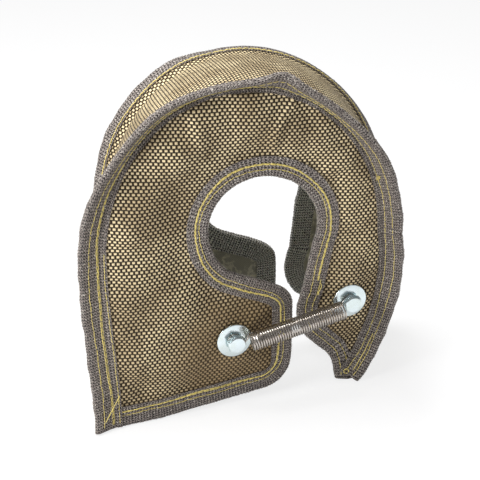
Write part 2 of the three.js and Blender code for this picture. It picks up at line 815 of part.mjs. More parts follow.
// Assembly
const { lavaCloth, mat, linerMesh, wireTape, zinc, springSteel } = finish;
addPiece('front_outer_fabric', cloths.front_outer_fabric, lavaCloth);
addPiece('front_insulation', cloths.front_insulation, mat);
addPiece('front_liner', cloths.front_liner, linerMesh);
addPiece('back_outer_fabric', outerCloth(layouts.back), lavaCloth);
addPiece('back_insulation', panelMat(layouts.back), mat);
addPiece('back_liner', panelLiner(layouts.back), linerMesh);
addPiece('gusset_outer_fabric', gussetCloth(), lavaCloth);
addPiece('gusset_insulation', gussetMat(), mat);
addPiece('gusset_liner', gussetLiner(), linerMesh);
addPiece('front_perimeter_binding', perimeterBinding(layouts.front), wireTape);
addPiece('back_perimeter_binding', perimeterBinding(layouts.back), wireTape);
addPiece('front_opening_binding', openingBinding(layouts.front), wireTape);
addPiece('back_opening_binding', openingBinding(layouts.back), wireTape);
addPiece('left_gusset_end_binding', gussetEndBinding(0, 1), wireTape);
addPiece('right_gusset_end_binding', gussetEndBinding(rowCount - 1, rowCount - 2), wireTape);

const bore = boltRadius + clearance;
for (const [name, { spot, top, bottom }] of Object.entries(seats)) {
  const washerBase = top + clearance;
  const headBase = top + hookHeight + wireDiameter / 2 + clearance;
  const innerWasherBase = bottom - clearance - washerThickness;
  const nutBase = innerWasherBase - clearance - nutHeight;
  const shankLength = headBase - nutBase + boltTail;
  const outerWasher = disc(washerRadius, bore, washerThickness, 16);
  const innerWasher = disc(innerWasherRadius, bore, washerThickness, 12);
  addPiece(`${name}_anchor_bolt`, standOn(hexBolt(shankLength), spot, headBase), zinc);
  addPiece(`${name}_outer_washer`, standOn(outerWasher, spot, washerBase), zinc);
  addPiece(`${name}_inner_washer`, standOn(innerWasher, spot, innerWasherBase), zinc);
  addPiece(`${name}_nut`, standOn(hexNut(), spot, nutBase), zinc);
}
addPiece('closing_spring', springWire(), springSteel);

// The origin lies on the floor under the middle of the bounding box
const box = new THREE.Box3().setFromObject(group);
const middle = box.getCenter(new THREE.Vector3());
for (const mesh of group.children) mesh.geometry.translate(-middle.x, -middle.y, -box.min.z);

export default group;
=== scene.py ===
"""Turbo heat blanket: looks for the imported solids, laid out as a Blender add-on and run as a script."""
import math

import bpy
import numpy as np
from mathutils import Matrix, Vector


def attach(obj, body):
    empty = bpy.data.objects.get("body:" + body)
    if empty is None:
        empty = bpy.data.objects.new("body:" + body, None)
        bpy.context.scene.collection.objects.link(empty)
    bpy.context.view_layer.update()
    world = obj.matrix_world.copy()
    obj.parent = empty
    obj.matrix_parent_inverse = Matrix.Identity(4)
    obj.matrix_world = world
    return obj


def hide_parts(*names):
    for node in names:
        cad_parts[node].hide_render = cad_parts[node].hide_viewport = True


bl_info = {
    "name": "Turbo heat blanket",
    "version": (1, 0, 0),
    "blender": (4, 5, 0),
    "location": "View3D > Sidebar > Heat blanket",
    "description": "Sewn cloth, wire tape, thread, spring and bolts of a turbo heat blanket",
    "category": "Object",
}

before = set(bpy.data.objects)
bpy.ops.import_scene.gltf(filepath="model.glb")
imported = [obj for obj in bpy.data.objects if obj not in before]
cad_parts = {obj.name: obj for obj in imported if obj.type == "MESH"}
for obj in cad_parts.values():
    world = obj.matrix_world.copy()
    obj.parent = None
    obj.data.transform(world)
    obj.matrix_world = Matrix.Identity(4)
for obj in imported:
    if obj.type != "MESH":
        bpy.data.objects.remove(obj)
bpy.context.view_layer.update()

MM = 0.001
ORIGIN_X, ORIGIN_Y = 1.898, 0.846  # the part's origin in the pattern's own coordinates

# The pattern, in millimetres: x to the right, z up, face outwards from a panel's seam plane
PANEL_GAP = 60
SPRINGING = 103
HALF_WIDTH = {-1: (84, 81), 1: (81, 81)}
CROWN_RISE = {-1: 96, 1: 93}
CENTRE = {-1: 0, 1: 6}
FOOT_SPLAY = 5
TOE_X, TOE_Z = 62, 6.4
SIDE_BULGE = 7
PORT_X, PORT_Z, PORT_RADIUS = 9.5, 112.5, 33
SLOT_X, SLOT_TOP = 26.8, 60
FOOT_CORNER = 18
FOOT_RISE = {-1: 5.6, 1: 0}
FOOT_FLAT = 27
SLOT_WIDENING = {-1: 0, 1: 3}
THROAT_X, THROAT_Z, THROAT_LENGTH = 30.2, 52, 32
FLANK_X, KNEE_X = 34.6, 38.7
LEG_WIDTH, LEG_SLOPE = 10, 17
FOOT_TWIST, CROWN_TWIST = 14.3, -1
FOLD = 1.1  # the folded tape stands this far beyond the cloth's edge
HEM_ZONE = 9.7
MAT_START = HEM_ZONE + 5.5
MAT_DEPTH = 2.5
CLOTH_IN, CLOTH_OUT = 0.15, 1.05
LINER_OUT = 0.85
TAPE = (2.05, 1.35)  # outer and inner face of a folded tape, from its middle
FIN_WIDTH = 13.1
FIN_CLOTH = 11.3
FIN_ROWS = np.linspace(2.4, FIN_CLOTH, 5)
TAPE_START = {-1: 2.75, 1: 5.2}  # the band side of a seam tape starts this far from the crease
TAPE_BACK, TAPE_SKIN = 1.85, 0.7  # inner face of an edge tape, and the thickness of its cloth
END_REACH = 8.4
INSET = 4.7  # the inner layers stop this far short of the seam
EDGE_MIDDLE = (TAPE[0] - TAPE_BACK) / 2
EDGE_TAPE = ((TAPE[0] + TAPE_BACK) / 2, (TAPE[0] + TAPE_BACK) / 2 - TAPE_SKIN)  # its faces, from that middle
EDGE_FOLD = FOLD - EDGE_TAPE[0]
TURNS = np.radians(np.linspace(90, -90, 9))[1:-1]  # the round of a fold
PORT_ENTRY, PORT_EXIT = 233, -20  # where the slot's two edges meet the port, in degrees
TOE_TURN = 22  # the edge tape turns down to the floor over this length
BAND_SKEW = 0.21  # the ribs of the band's cloth lean by this slope
BAND_BULGE = 2
WASHER_RADIUS, BACKING_RADIUS, WASHER_THICK, BORE = 10.5, 9, 1.6, 3.3
HEAD_HEIGHT, HALF_FLATS = 4, 5
COIL_RADIUS, COIL_STEPS, COIL_PITCH = 5.1, 20, 1.28
SPRING_ENDS = (7.8, 6.6)  # from a bolt's axis to the first coil, left and right
HOOK_LIFT = 1.65
HOOK_ARCS = ((50, 276, 9), (95, -131, -9))  # first and last angle and step of each hook, in degrees
BOLD_STOP = 78  # the bold row on the opening tape ends this far before the toe
KNOT_SHARE = 0.665  # place of a knot of thread along the front seam
LOOSE_RADIUS = 0.26
CAMERA_SPOT, CAMERA_TURN, CAMERA_LENS = (-104.2, -743, 442), (-8, 25), 105


def smooth(value, low, high):
    """0 below low, 1 above high and an even curve between."""
    share = np.clip((value - low) / (high - low), 0, 1)
    return share * share * (3 - 2 * share)


def mix(a, b, share):
    return a + (b - a) * share


def bezier(points, count=60):
    """Points along a Bezier curve with two, three or four control points."""
    points = np.array(points, float)
    t = np.linspace(0, 1, count)[:, None]
    points = points[:, None, :].repeat(count, 1)
    while len(points) > 1:
        points = points[:-1] * (1 - t) + points[1:] * t
    return points[0]


def arc(centre, radius_x, radius_z, start, end, count=120):
    angle = np.radians(np.linspace(start, end, count))
    return np.stack([centre[0] + radius_x * np.cos(angle), centre[1] + radius_z * np.sin(angle)], 1)


def travel(points):
    """Distance covered along a polyline at each of its points."""
    return np.concatenate([[0], np.cumsum(np.linalg.norm(np.diff(points, axis=0), axis=1))])


def unit(vectors):
    return vectors / np.linalg.norm(vectors, axis=-1, keepdims=True)


def resample(at, known, points):
    """Flat points of a polyline where a measure known at each of them has the given values."""
    return np.stack([np.interp(at, known, points[:, k]) for k in (0, 1)], 1)


def at_shares(line, shares):
    """Points of a polyline at shares of its length."""
    length = travel(line)
    return resample(np.asarray(shares) * length[-1], length, line)


def left_normals(line):
    """Unit normals on the left-hand side of a polyline."""
    step = np.gradient(line, axis=0)
    return unit(np.stack([-step[:, 1], step[:, 0]], 1))


def distance_to(points, line):
    """Distance of each point from a polyline."""
    flat = points.reshape(-1, 2)
    start, step = line[:-1], np.diff(line, axis=0)
    keep = (step ** 2).sum(1) > 1e-9
    start, step = start[keep], step[keep]
    nearest = np.full(len(flat), 1e9)
    for s, d in zip(start, step):
        share = np.clip((flat - s) @ d / (d @ d), 0, 1)[:, None]
        nearest = np.minimum(nearest, np.linalg.norm(flat - s - share * d, axis=1))
    return nearest.reshape(points.shape[:-1])


def lean_back(x, z):
    """The whole blanket is a little twisted: the foot turns further than the crown."""
    turn = FOOT_TWIST + (CROWN_TWIST - FOOT_TWIST) * z / (SPRINGING + CROWN_RISE[-1])
    return (x + CENTRE[1]) * np.tan(np.radians(turn))


def place(side, x, z, face):
    """A point of a panel: its place in the pattern, and its distance out from the seam plane."""
    return np.stack([x, side * (PANEL_GAP / 2 + face) + lean_back(x, z), z], -1)


def seam_line(side):
    """The line where a panel is sewn to the band, from the left foot over the crown to the toe."""
    centre, (left, right), rise = CENTRE[side], HALF_WIDTH[side], CROWN_RISE[side]
    foot = centre - left + FOOT_SPLAY
    top = centre + right
    return np.concatenate([
        bezier([
            (foot, FOLD), (foot, SPRINGING * 0.35),
            (centre - left, SPRINGING * 0.6), (centre - left, SPRINGING),
        ]),
        arc((centre, SPRINGING), left, rise, 180, 90)[1:],
        arc((centre, SPRINGING), right, rise, 90, 0)[1:],
        bezier([
            (top, SPRINGING), (top + SIDE_BULGE, SPRINGING * 0.7),
            (top - 3, SPRINGING * 0.27), (TOE_X + centre, TOE_Z),
        ])[1:],
    ])


def on_port(degrees):
    angle = np.radians(degrees)
    return np.stack([PORT_X + PORT_RADIUS * np.cos(angle), PORT_Z + PORT_RADIUS * np.sin(angle)], -1)


class Panel:
    """One panel of the blanket on a fine grid: rows along the opening edge, columns out to the seam."""

    def __init__(self, side, relief, density=7, columns=56):
        self.side = side
        self.relief = relief
        wide, centre = SLOT_WIDENING[side], CENTRE[side]
        slot_start = FOLD + FOOT_RISE[side] + FOOT_CORNER
        flank_end = (FLANK_X + wide, THROAT_Z + THROAT_LENGTH / 2)
        knee = (KNEE_X + wide, THROAT_Z - THROAT_LENGTH / 2)
        parts = [
            (4, 0, 0.09, np.array([(SLOT_X, slot_start), (SLOT_X, SLOT_TOP)], float)),
            (4, 0.09, 0.165, bezier([
                (SLOT_X, SLOT_TOP), (SLOT_X, SLOT_TOP + 14),
                (PORT_X + 1, PORT_Z - PORT_RADIUS - 3.5), on_port(PORT_ENTRY),
            ])),
            (3, 0.165, 0.225, on_port(np.linspace(PORT_ENTRY, 180, 40))),
            (13, 0.225, 0.775, on_port(np.linspace(180, 0, 120))),
            (1, 0.775, 0.81, on_port(np.linspace(0, PORT_EXIT, 20))),
            (2, 0.81, 0.875, np.array([on_port(PORT_EXIT), flank_end])),
            (4, 0.875, 0.93, bezier([
                flank_end, (THROAT_X + wide, THROAT_Z + THROAT_LENGTH / 6),
                (THROAT_X + wide, THROAT_Z - THROAT_LENGTH / 6), knee,
            ])),
            (3, 0.93, 1, bezier([
                knee, (TOE_X + centre - LEG_WIDTH, TOE_Z + LEG_SLOPE), (TOE_X + centre - 1, TOE_Z + 2.8),
            ])),
        ]
        knots = [0, 0.17, 0.34, 0.67, 1]
        edge, share, blend = [], [], []
        for index, (count, low, high, line) in enumerate(parts):
            steps = np.linspace(0, 1, count * density + 1)[min(index, 1):]
            edge.append(at_shares(line, steps))
            if index == 0:
                share.append(np.interp(steps, knots, [0, 0.0205, 0.0365, 0.062, 0.09]))
                blend.append(np.interp(steps, knots, [1, 0.85, 0.5, 0.15, 0]))
            else:
                share.append(mix(low, high, steps))
                blend.append(np.zeros(len(steps)))
        self.edge, self.share, self.blend = map(np.concatenate, (edge, share, blend))
        outline = seam_line(side)
        self.seam = at_shares(outline, self.share)
        self.along = self.share * travel(outline)[-1]
        self.to_end = np.minimum(self.along, travel(outline)[-1] - self.along)
        shares = np.linspace(0, 1, 900)
        fine = at_shares(outline, shares)
        self.normal = unit(resample(self.share, shares, left_normals(fine)))
        self.foot_start = self.seam[0, 0]
        foot_x = np.linspace(self.foot_start, SLOT_X, 120)[:-1]
        self.foot = np.stack([foot_x, self.foot_height(foot_x)], 1)
        self.opening = np.concatenate([self.foot, self.edge])
        self.span = np.linalg.norm(self.seam - self.edge, axis=1)
        self.grid = self.across(np.linspace(0, 1, columns))
        self.from_edge = distance_to(self.grid, self.opening)
        self.from_seam = distance_to(self.grid, fine[::4])

    def foot_height(self, x):
        lift = FOOT_RISE[self.side]
        start = SLOT_X - FOOT_CORNER
        flat_end = self.foot_start + FOOT_FLAT
        rising = FOLD + lift * np.clip((x - flat_end) / (start - flat_end), 0, 1)
        inside = np.maximum(0, FOOT_CORNER ** 2 - np.maximum(0, x - start) ** 2)
        return np.where(x > start, FOLD + lift + FOOT_CORNER - np.sqrt(inside), rising)

    def across(self, shares):
        """Points at shares of the way from the opening edge to the seam, for every row."""
        shares = np.asarray(shares)[None, :, None]
        grid = mix(self.edge[:, None], self.seam[:, None], shares)
        first = mix(self.edge[0], self.seam[0], shares[0])
        foot_x = mix(SLOT_X, self.foot_start, shares[0, :, 0])
        foot = np.stack([foot_x, self.foot_height(foot_x)], 1)
        return grid + (foot - first)[None] * self.blend[:, None, None]

    def face_at(self, points, from_edge=None, from_seam=None):
        """How far the outer cloth crowns above the seam plane."""
        if from_edge is None:
            from_edge = distance_to(points, self.opening)
            from_seam = distance_to(points, self.seam)
        rise = smooth(from_edge, HEM_ZONE + 1.5, HEM_ZONE + 23)
        fall = 1 - (1 - np.clip(from_seam / 28, 0, 1)) ** 2
        room = smooth(from_edge + from_seam, 26, 46)
        crowned = rise * room * self.relief["pillow"] * fall
        return crowned + self.folds(points, from_edge, from_seam) * smooth(from_edge, HEM_ZONE, HEM_ZONE + 7)

    def folds(self, points, from_edge, from_seam):
        """Gathers that run in from the seam, and the slow waves of the cloth."""
        x, z = points[..., 0], points[..., 1]
        angle = np.degrees(np.arctan2(z - PORT_Z, x - PORT_X))
        radius = np.hypot(z - PORT_Z, x - PORT_X)
        held = smooth(from_seam, 0.5, 7)
        relief = np.zeros(x.shape)
        for centre, width, height, reach in self.relief["gathers"]:
            bend = centre + 5 * np.sin(radius / 13 + centre)
            away = np.radians(angle - bend) * radius
            fade = 1 - smooth(from_seam, reach * 0.45, reach)
            relief += 1.5 * height * np.exp(-(away / width) ** 2) * fade
        along = z + 0.45 * from_seam
        side_waves = np.sin(along / 3.1) * np.exp(-((from_seam - 8) / 8) ** 2) * (1 - smooth(z, 95, 125))
        slow = np.sin(x / 9.7 + z / 14.3) * np.sin(z / 11.1 - x / 23) + 0.6 * np.sin(x / 5.3 - z / 6.9 + 1)
        relief += self.relief["side_waves"] * side_waves
        relief += self.relief["slow"] * slow * smooth(from_seam, 4, 18)
        return relief * held

    def padding(self, from_edge):
        return MAT_DEPTH * smooth(from_edge, HEM_ZONE + 3, MAT_START + 5)

    def lean(self):
        """Lean of the fin from straight out towards the panel's face, per row, in radians."""
        over = smooth(self.normal[:, 1], -0.35, 0.95)
        if self.side > 0:
            standing = 27 * smooth(-self.normal[:, 0], 0.2, 0.6) * smooth(self.normal[:, 1], 0.1, 0.5)
            return np.radians(mix(30, 88, over) - standing)
        at_side = mix(10, 31, smooth(self.normal[:, 0], -0.4, 0.4))
        wave = 5 * np.sin(self.share * 43) * over
        peak = 24 * np.exp(-((self.seam[:, 0] - 17) / 8) ** 2) * over
        return np.radians(mix(at_side, 67, over) + wave - peak)

    def fin_point(self, along, above):
        """A point of the fin for every row: along it from the seam, above its middle towards the face."""
        lean = self.lean()
        out = along * np.cos(lean) - above * np.sin(lean)
        face = along * np.sin(lean) + above * np.cos(lean)
        x, z = (self.seam + self.normal * out[:, None]).T
        return place(self.side, x, z, face)

    def panel_point(self, inward, face):
        """A point on the panel for every row, measured inward from the seam, above the crowned cloth."""
        point = self.seam - self.normal * inward
        return place(self.side, *point.T, face + self.face_at(point))

    def end_share(self, low, high):
        return smooth(self.to_end, low, high)


# Meshes


def to_world(points):
    """From pattern coordinates in millimetres to the part's own in metres."""
    return (np.asarray(points) - np.array([ORIGIN_X, ORIGIN_Y, 0])) * MM


def put(obj):
    bpy.context.scene.collection.objects.link(obj)
    return obj


def new_object(name, vertices, faces, uv=None, smooth_angle=40):
    mesh = bpy.data.meshes.new(name)
    mesh.from_pydata(vertices.tolist(), [], faces.tolist() if hasattr(faces, "tolist") else faces)
    mesh.validate()
    if uv is not None:
        layer = mesh.uv_layers.new(name="Lay")
        index = np.zeros(len(mesh.loops), int)
        mesh.loops.foreach_get("vertex_index", index)
        layer.data.foreach_set("uv", uv[index].astype(np.float32).ravel())
    mesh.polygons.foreach_set("use_smooth", np.ones(len(mesh.polygons), bool))
    mesh.set_sharp_from_angle(angle=math.radians(smooth_angle))
    return put(bpy.data.objects.new(name, mesh))


def signed_volume(vertices, faces):
    a, b, c, d = (vertices[faces[:, k]] for k in range(4))
    return (a * np.cross(b, c)).sum() + (a * np.cross(c, d)).sum()


def sheet_mesh(name, outer, inner, uv):
    """A closed sheet between two grids of points, in pattern coordinates."""
    vertices = to_world(np.concatenate([outer.reshape(-1, 3), inner.reshape(-1, 3)]))
    index = np.arange(outer[..., 0].size).reshape(outer.shape[:2])
    cells = index[:-1, :-1], index[:-1, 1:], index[1:, 1:], index[1:, :-1]
    top = np.stack([corner.ravel() for corner in cells], 1)
    faces = [top, top[:, ::-1] + index.size]
    for start, end in ((index[1:, 0], index[:-1, 0]), (index[:-1, -1], index[1:, -1]),
                       (index[0, :-1], index[0, 1:]), (index[-1, 1:], index[-1, :-1])):
        faces.append(np.stack([start, end, end + index.size, start + index.size], 1))
    faces = np.concatenate(faces)
    faces = np.roll(faces, -1, 1) if signed_volume(vertices, faces) > 0 else faces[:, ::-1]
    return new_object(name, vertices, faces, np.tile(uv.reshape(-1, 2), (2, 1)))


def wire_ring(points, radius, sides):
    """Vertices, faces and flat coordinates of a round wire along a polyline of pattern points."""
    points = to_world(points)
    tangent = unit(np.gradient(points, axis=0))
    normal = np.zeros_like(points)
    current = np.cross(tangent[0], [0.3, 0.2, 1.0])
    for k, along in enumerate(tangent):
        current = normal[k] = unit(current - along * (current @ along))
    binormal = np.cross(tangent, normal)
    angle = np.arange(sides) * 2 * np.pi / sides
    ring = normal[:, None] * np.cos(angle)[None, :, None] + binormal[:, None] * np.sin(angle)[None, :, None]
    vertices = (points[:, None] + ring * radius * MM).reshape(-1, 3)
    i, j = np.meshgrid(np.arange(len(points) - 1), np.arange(sides), indexing="ij")
    a, b = (i * sides + j).ravel(), (i * sides + (j + 1) % sides).ravel()
    faces = np.stack([a, b, b + sides, a + sides], 1).tolist()
    last = (len(points) - 1) * sides
    faces += [list(range(sides))[::-1], list(range(last, last + sides))]
    uv = np.stack([np.repeat(travel(points), sides), np.tile(angle * radius * MM, len(points))], 1)
    return vertices, faces, uv


def tube_mesh(name, lines, radius, sides=8):
    """Round wires along polylines of pattern points, as one mesh."""
    vertices, faces, uv = [], [], []
    for line in lines:
        first = sum(map(len, vertices))
        ring, skin, lay = wire_ring(line, radius, sides)
        vertices.append(ring)
        faces += [[first + k for k in face] for face in skin]
        uv.append(lay)
    return new_object(name, np.concatenate(vertices), faces, np.concatenate(uv))


def turned_mesh(name, profile, axes, outline=None):
    """A closed profile turned about an axis. outline shapes its radius and height with the angle."""
    centre, x_axis, y_axis, z_axis = axes
    segments = 72 if outline else 64
    angle = np.arange(segments)[:, None] * 2 * np.pi / segments
    radius, height = (np.repeat(part[None], segments, 0) for part in np.array(profile, float).T)
    if outline:
        radius, height = outline(angle, radius, height)
    spread = radius[..., None] * (np.cos(angle)[..., None] * x_axis + np.sin(angle)[..., None] * y_axis)
    vertices = (centre + (spread + height[..., None] * z_axis) * MM).reshape(-1, 3)
    index = np.arange(len(vertices)).reshape(segments, -1)
    turned = np.roll(index, -1, 0)
    corners = index, turned, np.roll(turned, -1, 1), np.roll(index, -1, 1)
    faces = np.stack([corner.ravel() for corner in corners], 1)
    if signed_volume(vertices, faces) < 0:
        faces = faces[:, ::-1]
    return new_object(name, vertices, faces, np.zeros((len(vertices), 2)), 32)


def finish_piece(obj, material, slot_name, *nodes):
    obj.data.materials.clear()
    obj.data.materials.append(material)
    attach(obj, "root")
    if nodes:
        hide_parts(*nodes)
    return obj


# Shader maths


def feed(tree, socket, value):
    """Link a socket to a value, another socket or a node's first output, or set its own value."""
    if isinstance(value, bpy.types.Node):
        value = value.outputs[0]
    elif isinstance(value, Value):
        value = value.socket
    if isinstance(value, bpy.types.NodeSocket):
        tree.links.new(value, socket)
    elif socket.type == "RGBA":
        socket.default_value = (*value, 1.0)[:4]
    else:
        socket.default_value = value


def add_node(tree, kind, settings=None, **inputs):
    """Any node: its settings first, then its sockets by name, or by number as in _2."""
    node = tree.nodes.new(kind)
    for key, value in (settings or {}).items():
        setattr(node, key, value)
    for key, value in inputs.items():
        feed(tree, node.inputs[int(key[1:])] if key[0] == "_" else node.inputs[key.replace("_", " ")], value)
    return node


def maths(operation, reflected=False):
    """A method that adds a Math node. A reflected one has its own value last."""
    def method(self, *others):
        values = (*others, self) if reflected else (self, *others)
        inputs = {f"_{k}": value for k, value in enumerate(values)}
        node = add_node(self.tree, "ShaderNodeMath", {"operation": operation}, **inputs)
        return Value(self.tree, node.outputs[0])
    return method


class Value:
    """A socket that adds its Math nodes when it is used in an expression."""

    def __init__(self, tree, socket):
        self.tree = tree
        self.socket = socket

    __add__ = __radd__ = maths("ADD")
    __mul__ = __rmul__ = maths("MULTIPLY")
    __sub__, __rsub__ = maths("SUBTRACT"), maths("SUBTRACT", reflected=True)
    __truediv__, __rtruediv__ = maths("DIVIDE"), maths("DIVIDE", reflected=True)
    sin, cos, abs, fraction = (maths(word) for word in ("SINE", "COSINE", "ABSOLUTE", "FRACT"))
    max, min = maths("MAXIMUM"), maths("MINIMUM")

    def ease(self, low, high):
        """0 below low, 1 above high and an even curve between."""
        node = add_node(self.tree, "ShaderNodeMapRange", {"interpolation_type": "SMOOTHSTEP"}, Value=self,
                        From_Min=low, From_Max=high)
        return Value(self.tree, node.outputs[0])


class Finish:
    """One material under construction."""

    def __init__(self, name, roughness, metallic=0.0, specular=0.5):
        self.material = bpy.data.materials.new(name)
        self.material.use_nodes = True
        self.tree = self.material.node_tree
        self.shader = self.tree.nodes["Principled BSDF"]
        self.set(Roughness=roughness, Metallic=metallic, Specular_IOR_Level=specular)

    def node(self, *kind, **inputs):
        return add_node(self.tree, *kind, **inputs)

    def set(self, **inputs):
        for key, value in inputs.items():
            feed(self.tree, self.shader.inputs[key.replace("_", " ")], value)

    def values(self, node, *picks):
        return (Value(self.tree, node.outputs[pick]) for pick in picks)

    def lay(self):
        """The piece's own flat coordinates, in metres, as a vector and as two values."""
        lay = self.node("ShaderNodeUVMap", {"uv_map": "Lay"}).outputs[0]
        return lay, *self.values(self.node("ShaderNodeSeparateXYZ", _0=lay), 0, 1)

    def place(self):
        """Position across and up the whole part, in metres."""
        position = self.node("ShaderNodeTexCoord").outputs["Object"]
        return self.values(self.node("ShaderNodeSeparateXYZ", _0=position), 0, 2)

    def noise(self, scale, detail, vector=None):
        """Noise over the given coordinates, or else over the position on the whole part."""
        vector = vector or self.node("ShaderNodeTexCoord").outputs["Object"]
        made = self.node("ShaderNodeTexNoise", Vector=vector, Scale=scale, Detail=detail, Roughness=0.55)
        return Value(self.tree, made.outputs[0])

    def blend(self, share, first, second):
        return self.node("ShaderNodeMix", {"data_type": "RGBA"}, _0=share, _6=first, _7=second).outputs[2]

    def paint(self, share, first, second):
        self.set(Base_Color=self.blend(share, first, second))

    def bump(self, height, distance):
        self.set(Normal=self.node("ShaderNodeBump", Height=height, Distance=distance, Strength=1.0))


def darker(colour, share):
    return tuple(part * share for part in colour)


def colour(name, text, default):
    return bpy.props.FloatVectorProperty(
        name=name, description=text, subtype="COLOR", size=3, min=0, max=1, default=default
    )


def number(name, text, default, **more):
    return bpy.props.FloatProperty(name=name, description=text, default=default, min=0, **more)


def length(name, text, default):
    return number(name, text, default, subtype="DISTANCE", unit="LENGTH", precision=5)


# Settings


class ClothSettings(bpy.types.PropertyGroup):
    """Sizes and colours of the woven cloth."""

    pillow: length("Pillow", "How far the outer cloth crowns over the mat", 0.0054)
    side_waves: length("Side waves", "Height of the small waves along the left seam", 0.0011)
    slow_waves: length("Slow waves", "Height of the broad unevenness of the cloth", 0.0011)
    weft_pitch: length("Weft pitch", "Distance between yarns that run up the panel", 0.00142)
    warp_pitch: length("Warp pitch", "Distance between yarns that run across the panel", 0.00188)
    yarn_height: length("Yarn height", "Height of a yarn's crown over the gaps", 0.0005)
    # Painted highlight: the bright crowns of the cross yarns stand in for light falling on them
    highlit_crown_yarn: colour("Crown yarn", "Bright tops of the yarns that run across", (1.0, 0.82, 0.50))
    # Painted shade: the upright yarns are darkened as if shaded by the cross yarns
    shaded_upright_yarn: colour("Low yarn", "Yarns that run up the panel", (0.05, 0.031, 0.013))
    # Painted shade in the gaps between yarns, deepest where the painted sheen is strong
    gap: colour("Gap", "Dark gaps between yarns", (0.010, 0.006, 0.003))
    # The same yarns and gaps where the painted sheen is weak, with lighter painted shade in the gaps
    dull_yarn: colour("Dull yarn", "Yarns of the cloth where it doesn't gleam", (0.46, 0.33, 0.17))
    dull_gap: colour("Dull gap", "Gaps of the cloth where it doesn't gleam", (0.10, 0.068, 0.034))
    # Painted light: the liner colours are raised above the mesh's own dark tone to stand in for light
    # reaching the inside
    liner_wire: colour("Liner wire", "Wires of the inner mesh cloth", (0.92, 0.88, 0.70))
    liner_ground: colour("Liner ground", "What shows through the inner mesh cloth", (0.50, 0.48, 0.38))
    mat_fibre: colour("Mat fibre", "Fibres of the insulation mat", (0.62, 0.58, 0.50))


class TapeSettings(bpy.types.PropertyGroup):
    """Sizes and colours of the folded wire tape and of its thread."""

    hem_width: length("Hem width", "How far the opening tape reaches over the cloth", 0.0115)
    base_reach: length("Base reach", "How far the seam tape reaches over the panel", 0.0036)
    wale_pitch: length("Wale pitch", "Distance between two columns of knitted loops", 0.00150)
    loop_pitch: length("Loop pitch", "Length of one knitted loop", 0.00175)
    # Painted highlight: the glinting wires of the tape
    light_wire: colour("Light wire", "Bright wires of the tape", (0.84, 0.78, 0.70))
    dull_wire: colour("Dull wire", "Shaded wires of the tape", (0.27, 0.225, 0.205))
    # Painted shade in the gaps between the loops
    dark_gap: colour("Dark gap", "Gaps between the loops", (0.014, 0.011, 0.010))
    thread: colour("Thread", "Yellow sewing thread", (0.94, 0.77, 0.24))
    stitch: length("Stitch", "Length of one stitch", 0.0034)
    thread_radius: length("Thread radius", "Radius of the sewing thread", 0.00026)


class HardwareSettings(bpy.types.PropertyGroup):
    """Sizes and colours of the bolts, washers and the spring."""

    wire_radius: length("Wire radius", "Radius of the spring wire", 0.00056)
    zinc: colour("Zinc", "Bright zinc plate", (0.74, 0.83, 0.86))
    spring: colour("Spring", "Drawn spring wire", (0.66, 0.61, 0.56))


class StudioSettings(bpy.types.PropertyGroup):
    """Strengths of the studio's lights."""

    overhead: number("Overhead", "Power of the large lamp above", 9.5, unit="POWER")
    side: number("Side", "Power of the lamp at the front left", 9.2, unit="POWER")
    floor_glow: number("Floor glow", "Share of white in the seen floor", 0.74, subtype="FACTOR", max=1)
    glossy_sky: number("Mirrored sky", "Brightness that metal mirrors", 0.3, subtype="FACTOR", max=1)
    ambient: number("Ambient", "Strength of the surrounding light", 0.27, subtype="FACTOR", max=1)


# Materials


def woven_cloth(cloth):
    """Plain weave of thick mineral yarn, with light painted into its colour: painted highlights on the
    crowns of the cross yarns, painted shade on the upright yarns and in the gaps, and a painted sheen that
    grows away from a dull patch low in the middle of the part.
    """
    made = Finish("woven_mineral_cloth", roughness=0.5, specular=0.4)
    lay, u, v = made.lay()
    wobble = made.noise(260, 2, lay) - 0.5
    across = u * (1 / cloth.weft_pitch) + wobble * 0.3
    up = v * (1 / cloth.warp_pitch) + (made.noise(210, 2, lay) - 0.5) * 0.25
    crossing = (across * math.pi).cos() * ((up * math.pi).cos() * 5).max(-1.0).min(1.0)
    off_row = ((up + 0.5).fraction() - 0.5).abs()
    off_column = ((across + 0.5).fraction() - 0.5).abs()
    row = 1 - off_row * off_row * 4
    column = 1 - off_column * off_column * 4
    over = (crossing + 0.3).ease(-0.12, 0.3)
    filaments = made.noise(3600, 2, lay)
    x, z = made.place()
    # Painted sheen: the cloth gleams more the further it lies from a dull patch low in the middle of the
    # part, in soft clouds
    dull_x, dull_z = (x - 0.004) / 0.052, (z - 0.034) / 0.038
    clouds = made.noise(36, 2).ease(0.38, 0.62)
    gleam = (dull_x * dull_x + dull_z * dull_z).ease(0.35, 1.9) * (0.42 + clouds * 0.7)
    uneven = made.noise(340, 1, lay).ease(0.3, 0.7)
    # Mask of the painted highlight on each float of a cross yarn, with random tone from float to float
    float_light = row.ease(0.22, 0.85) * over * (0.6 + filaments * 0.5 + uneven * 0.35)
    # The floats turn from the dull yarn to the painted highlight as the painted sheen grows
    bright = made.blend(gleam.min(1.0), cloth.dull_yarn, cloth.highlit_crown_yarn)
    # Painted shade in the gaps, deeper where the painted sheen is strong
    gap = made.blend(gleam.ease(0.0, 0.5), cloth.dull_gap, cloth.gap)
    # Upright yarns carry painted shade, between the gap colour and the shaded upright yarn
    upright = made.blend(column * (1 - over) * 0.8, gap, cloth.shaded_upright_yarn)
    made.paint(float_light.min(1.0), upright, bright)
    made.set(Roughness=0.85 - float_light * 0.4)
    made.bump(row * over + column * (1 - over) * 0.45 + filaments * 0.1, cloth.yarn_height)
    return made.material


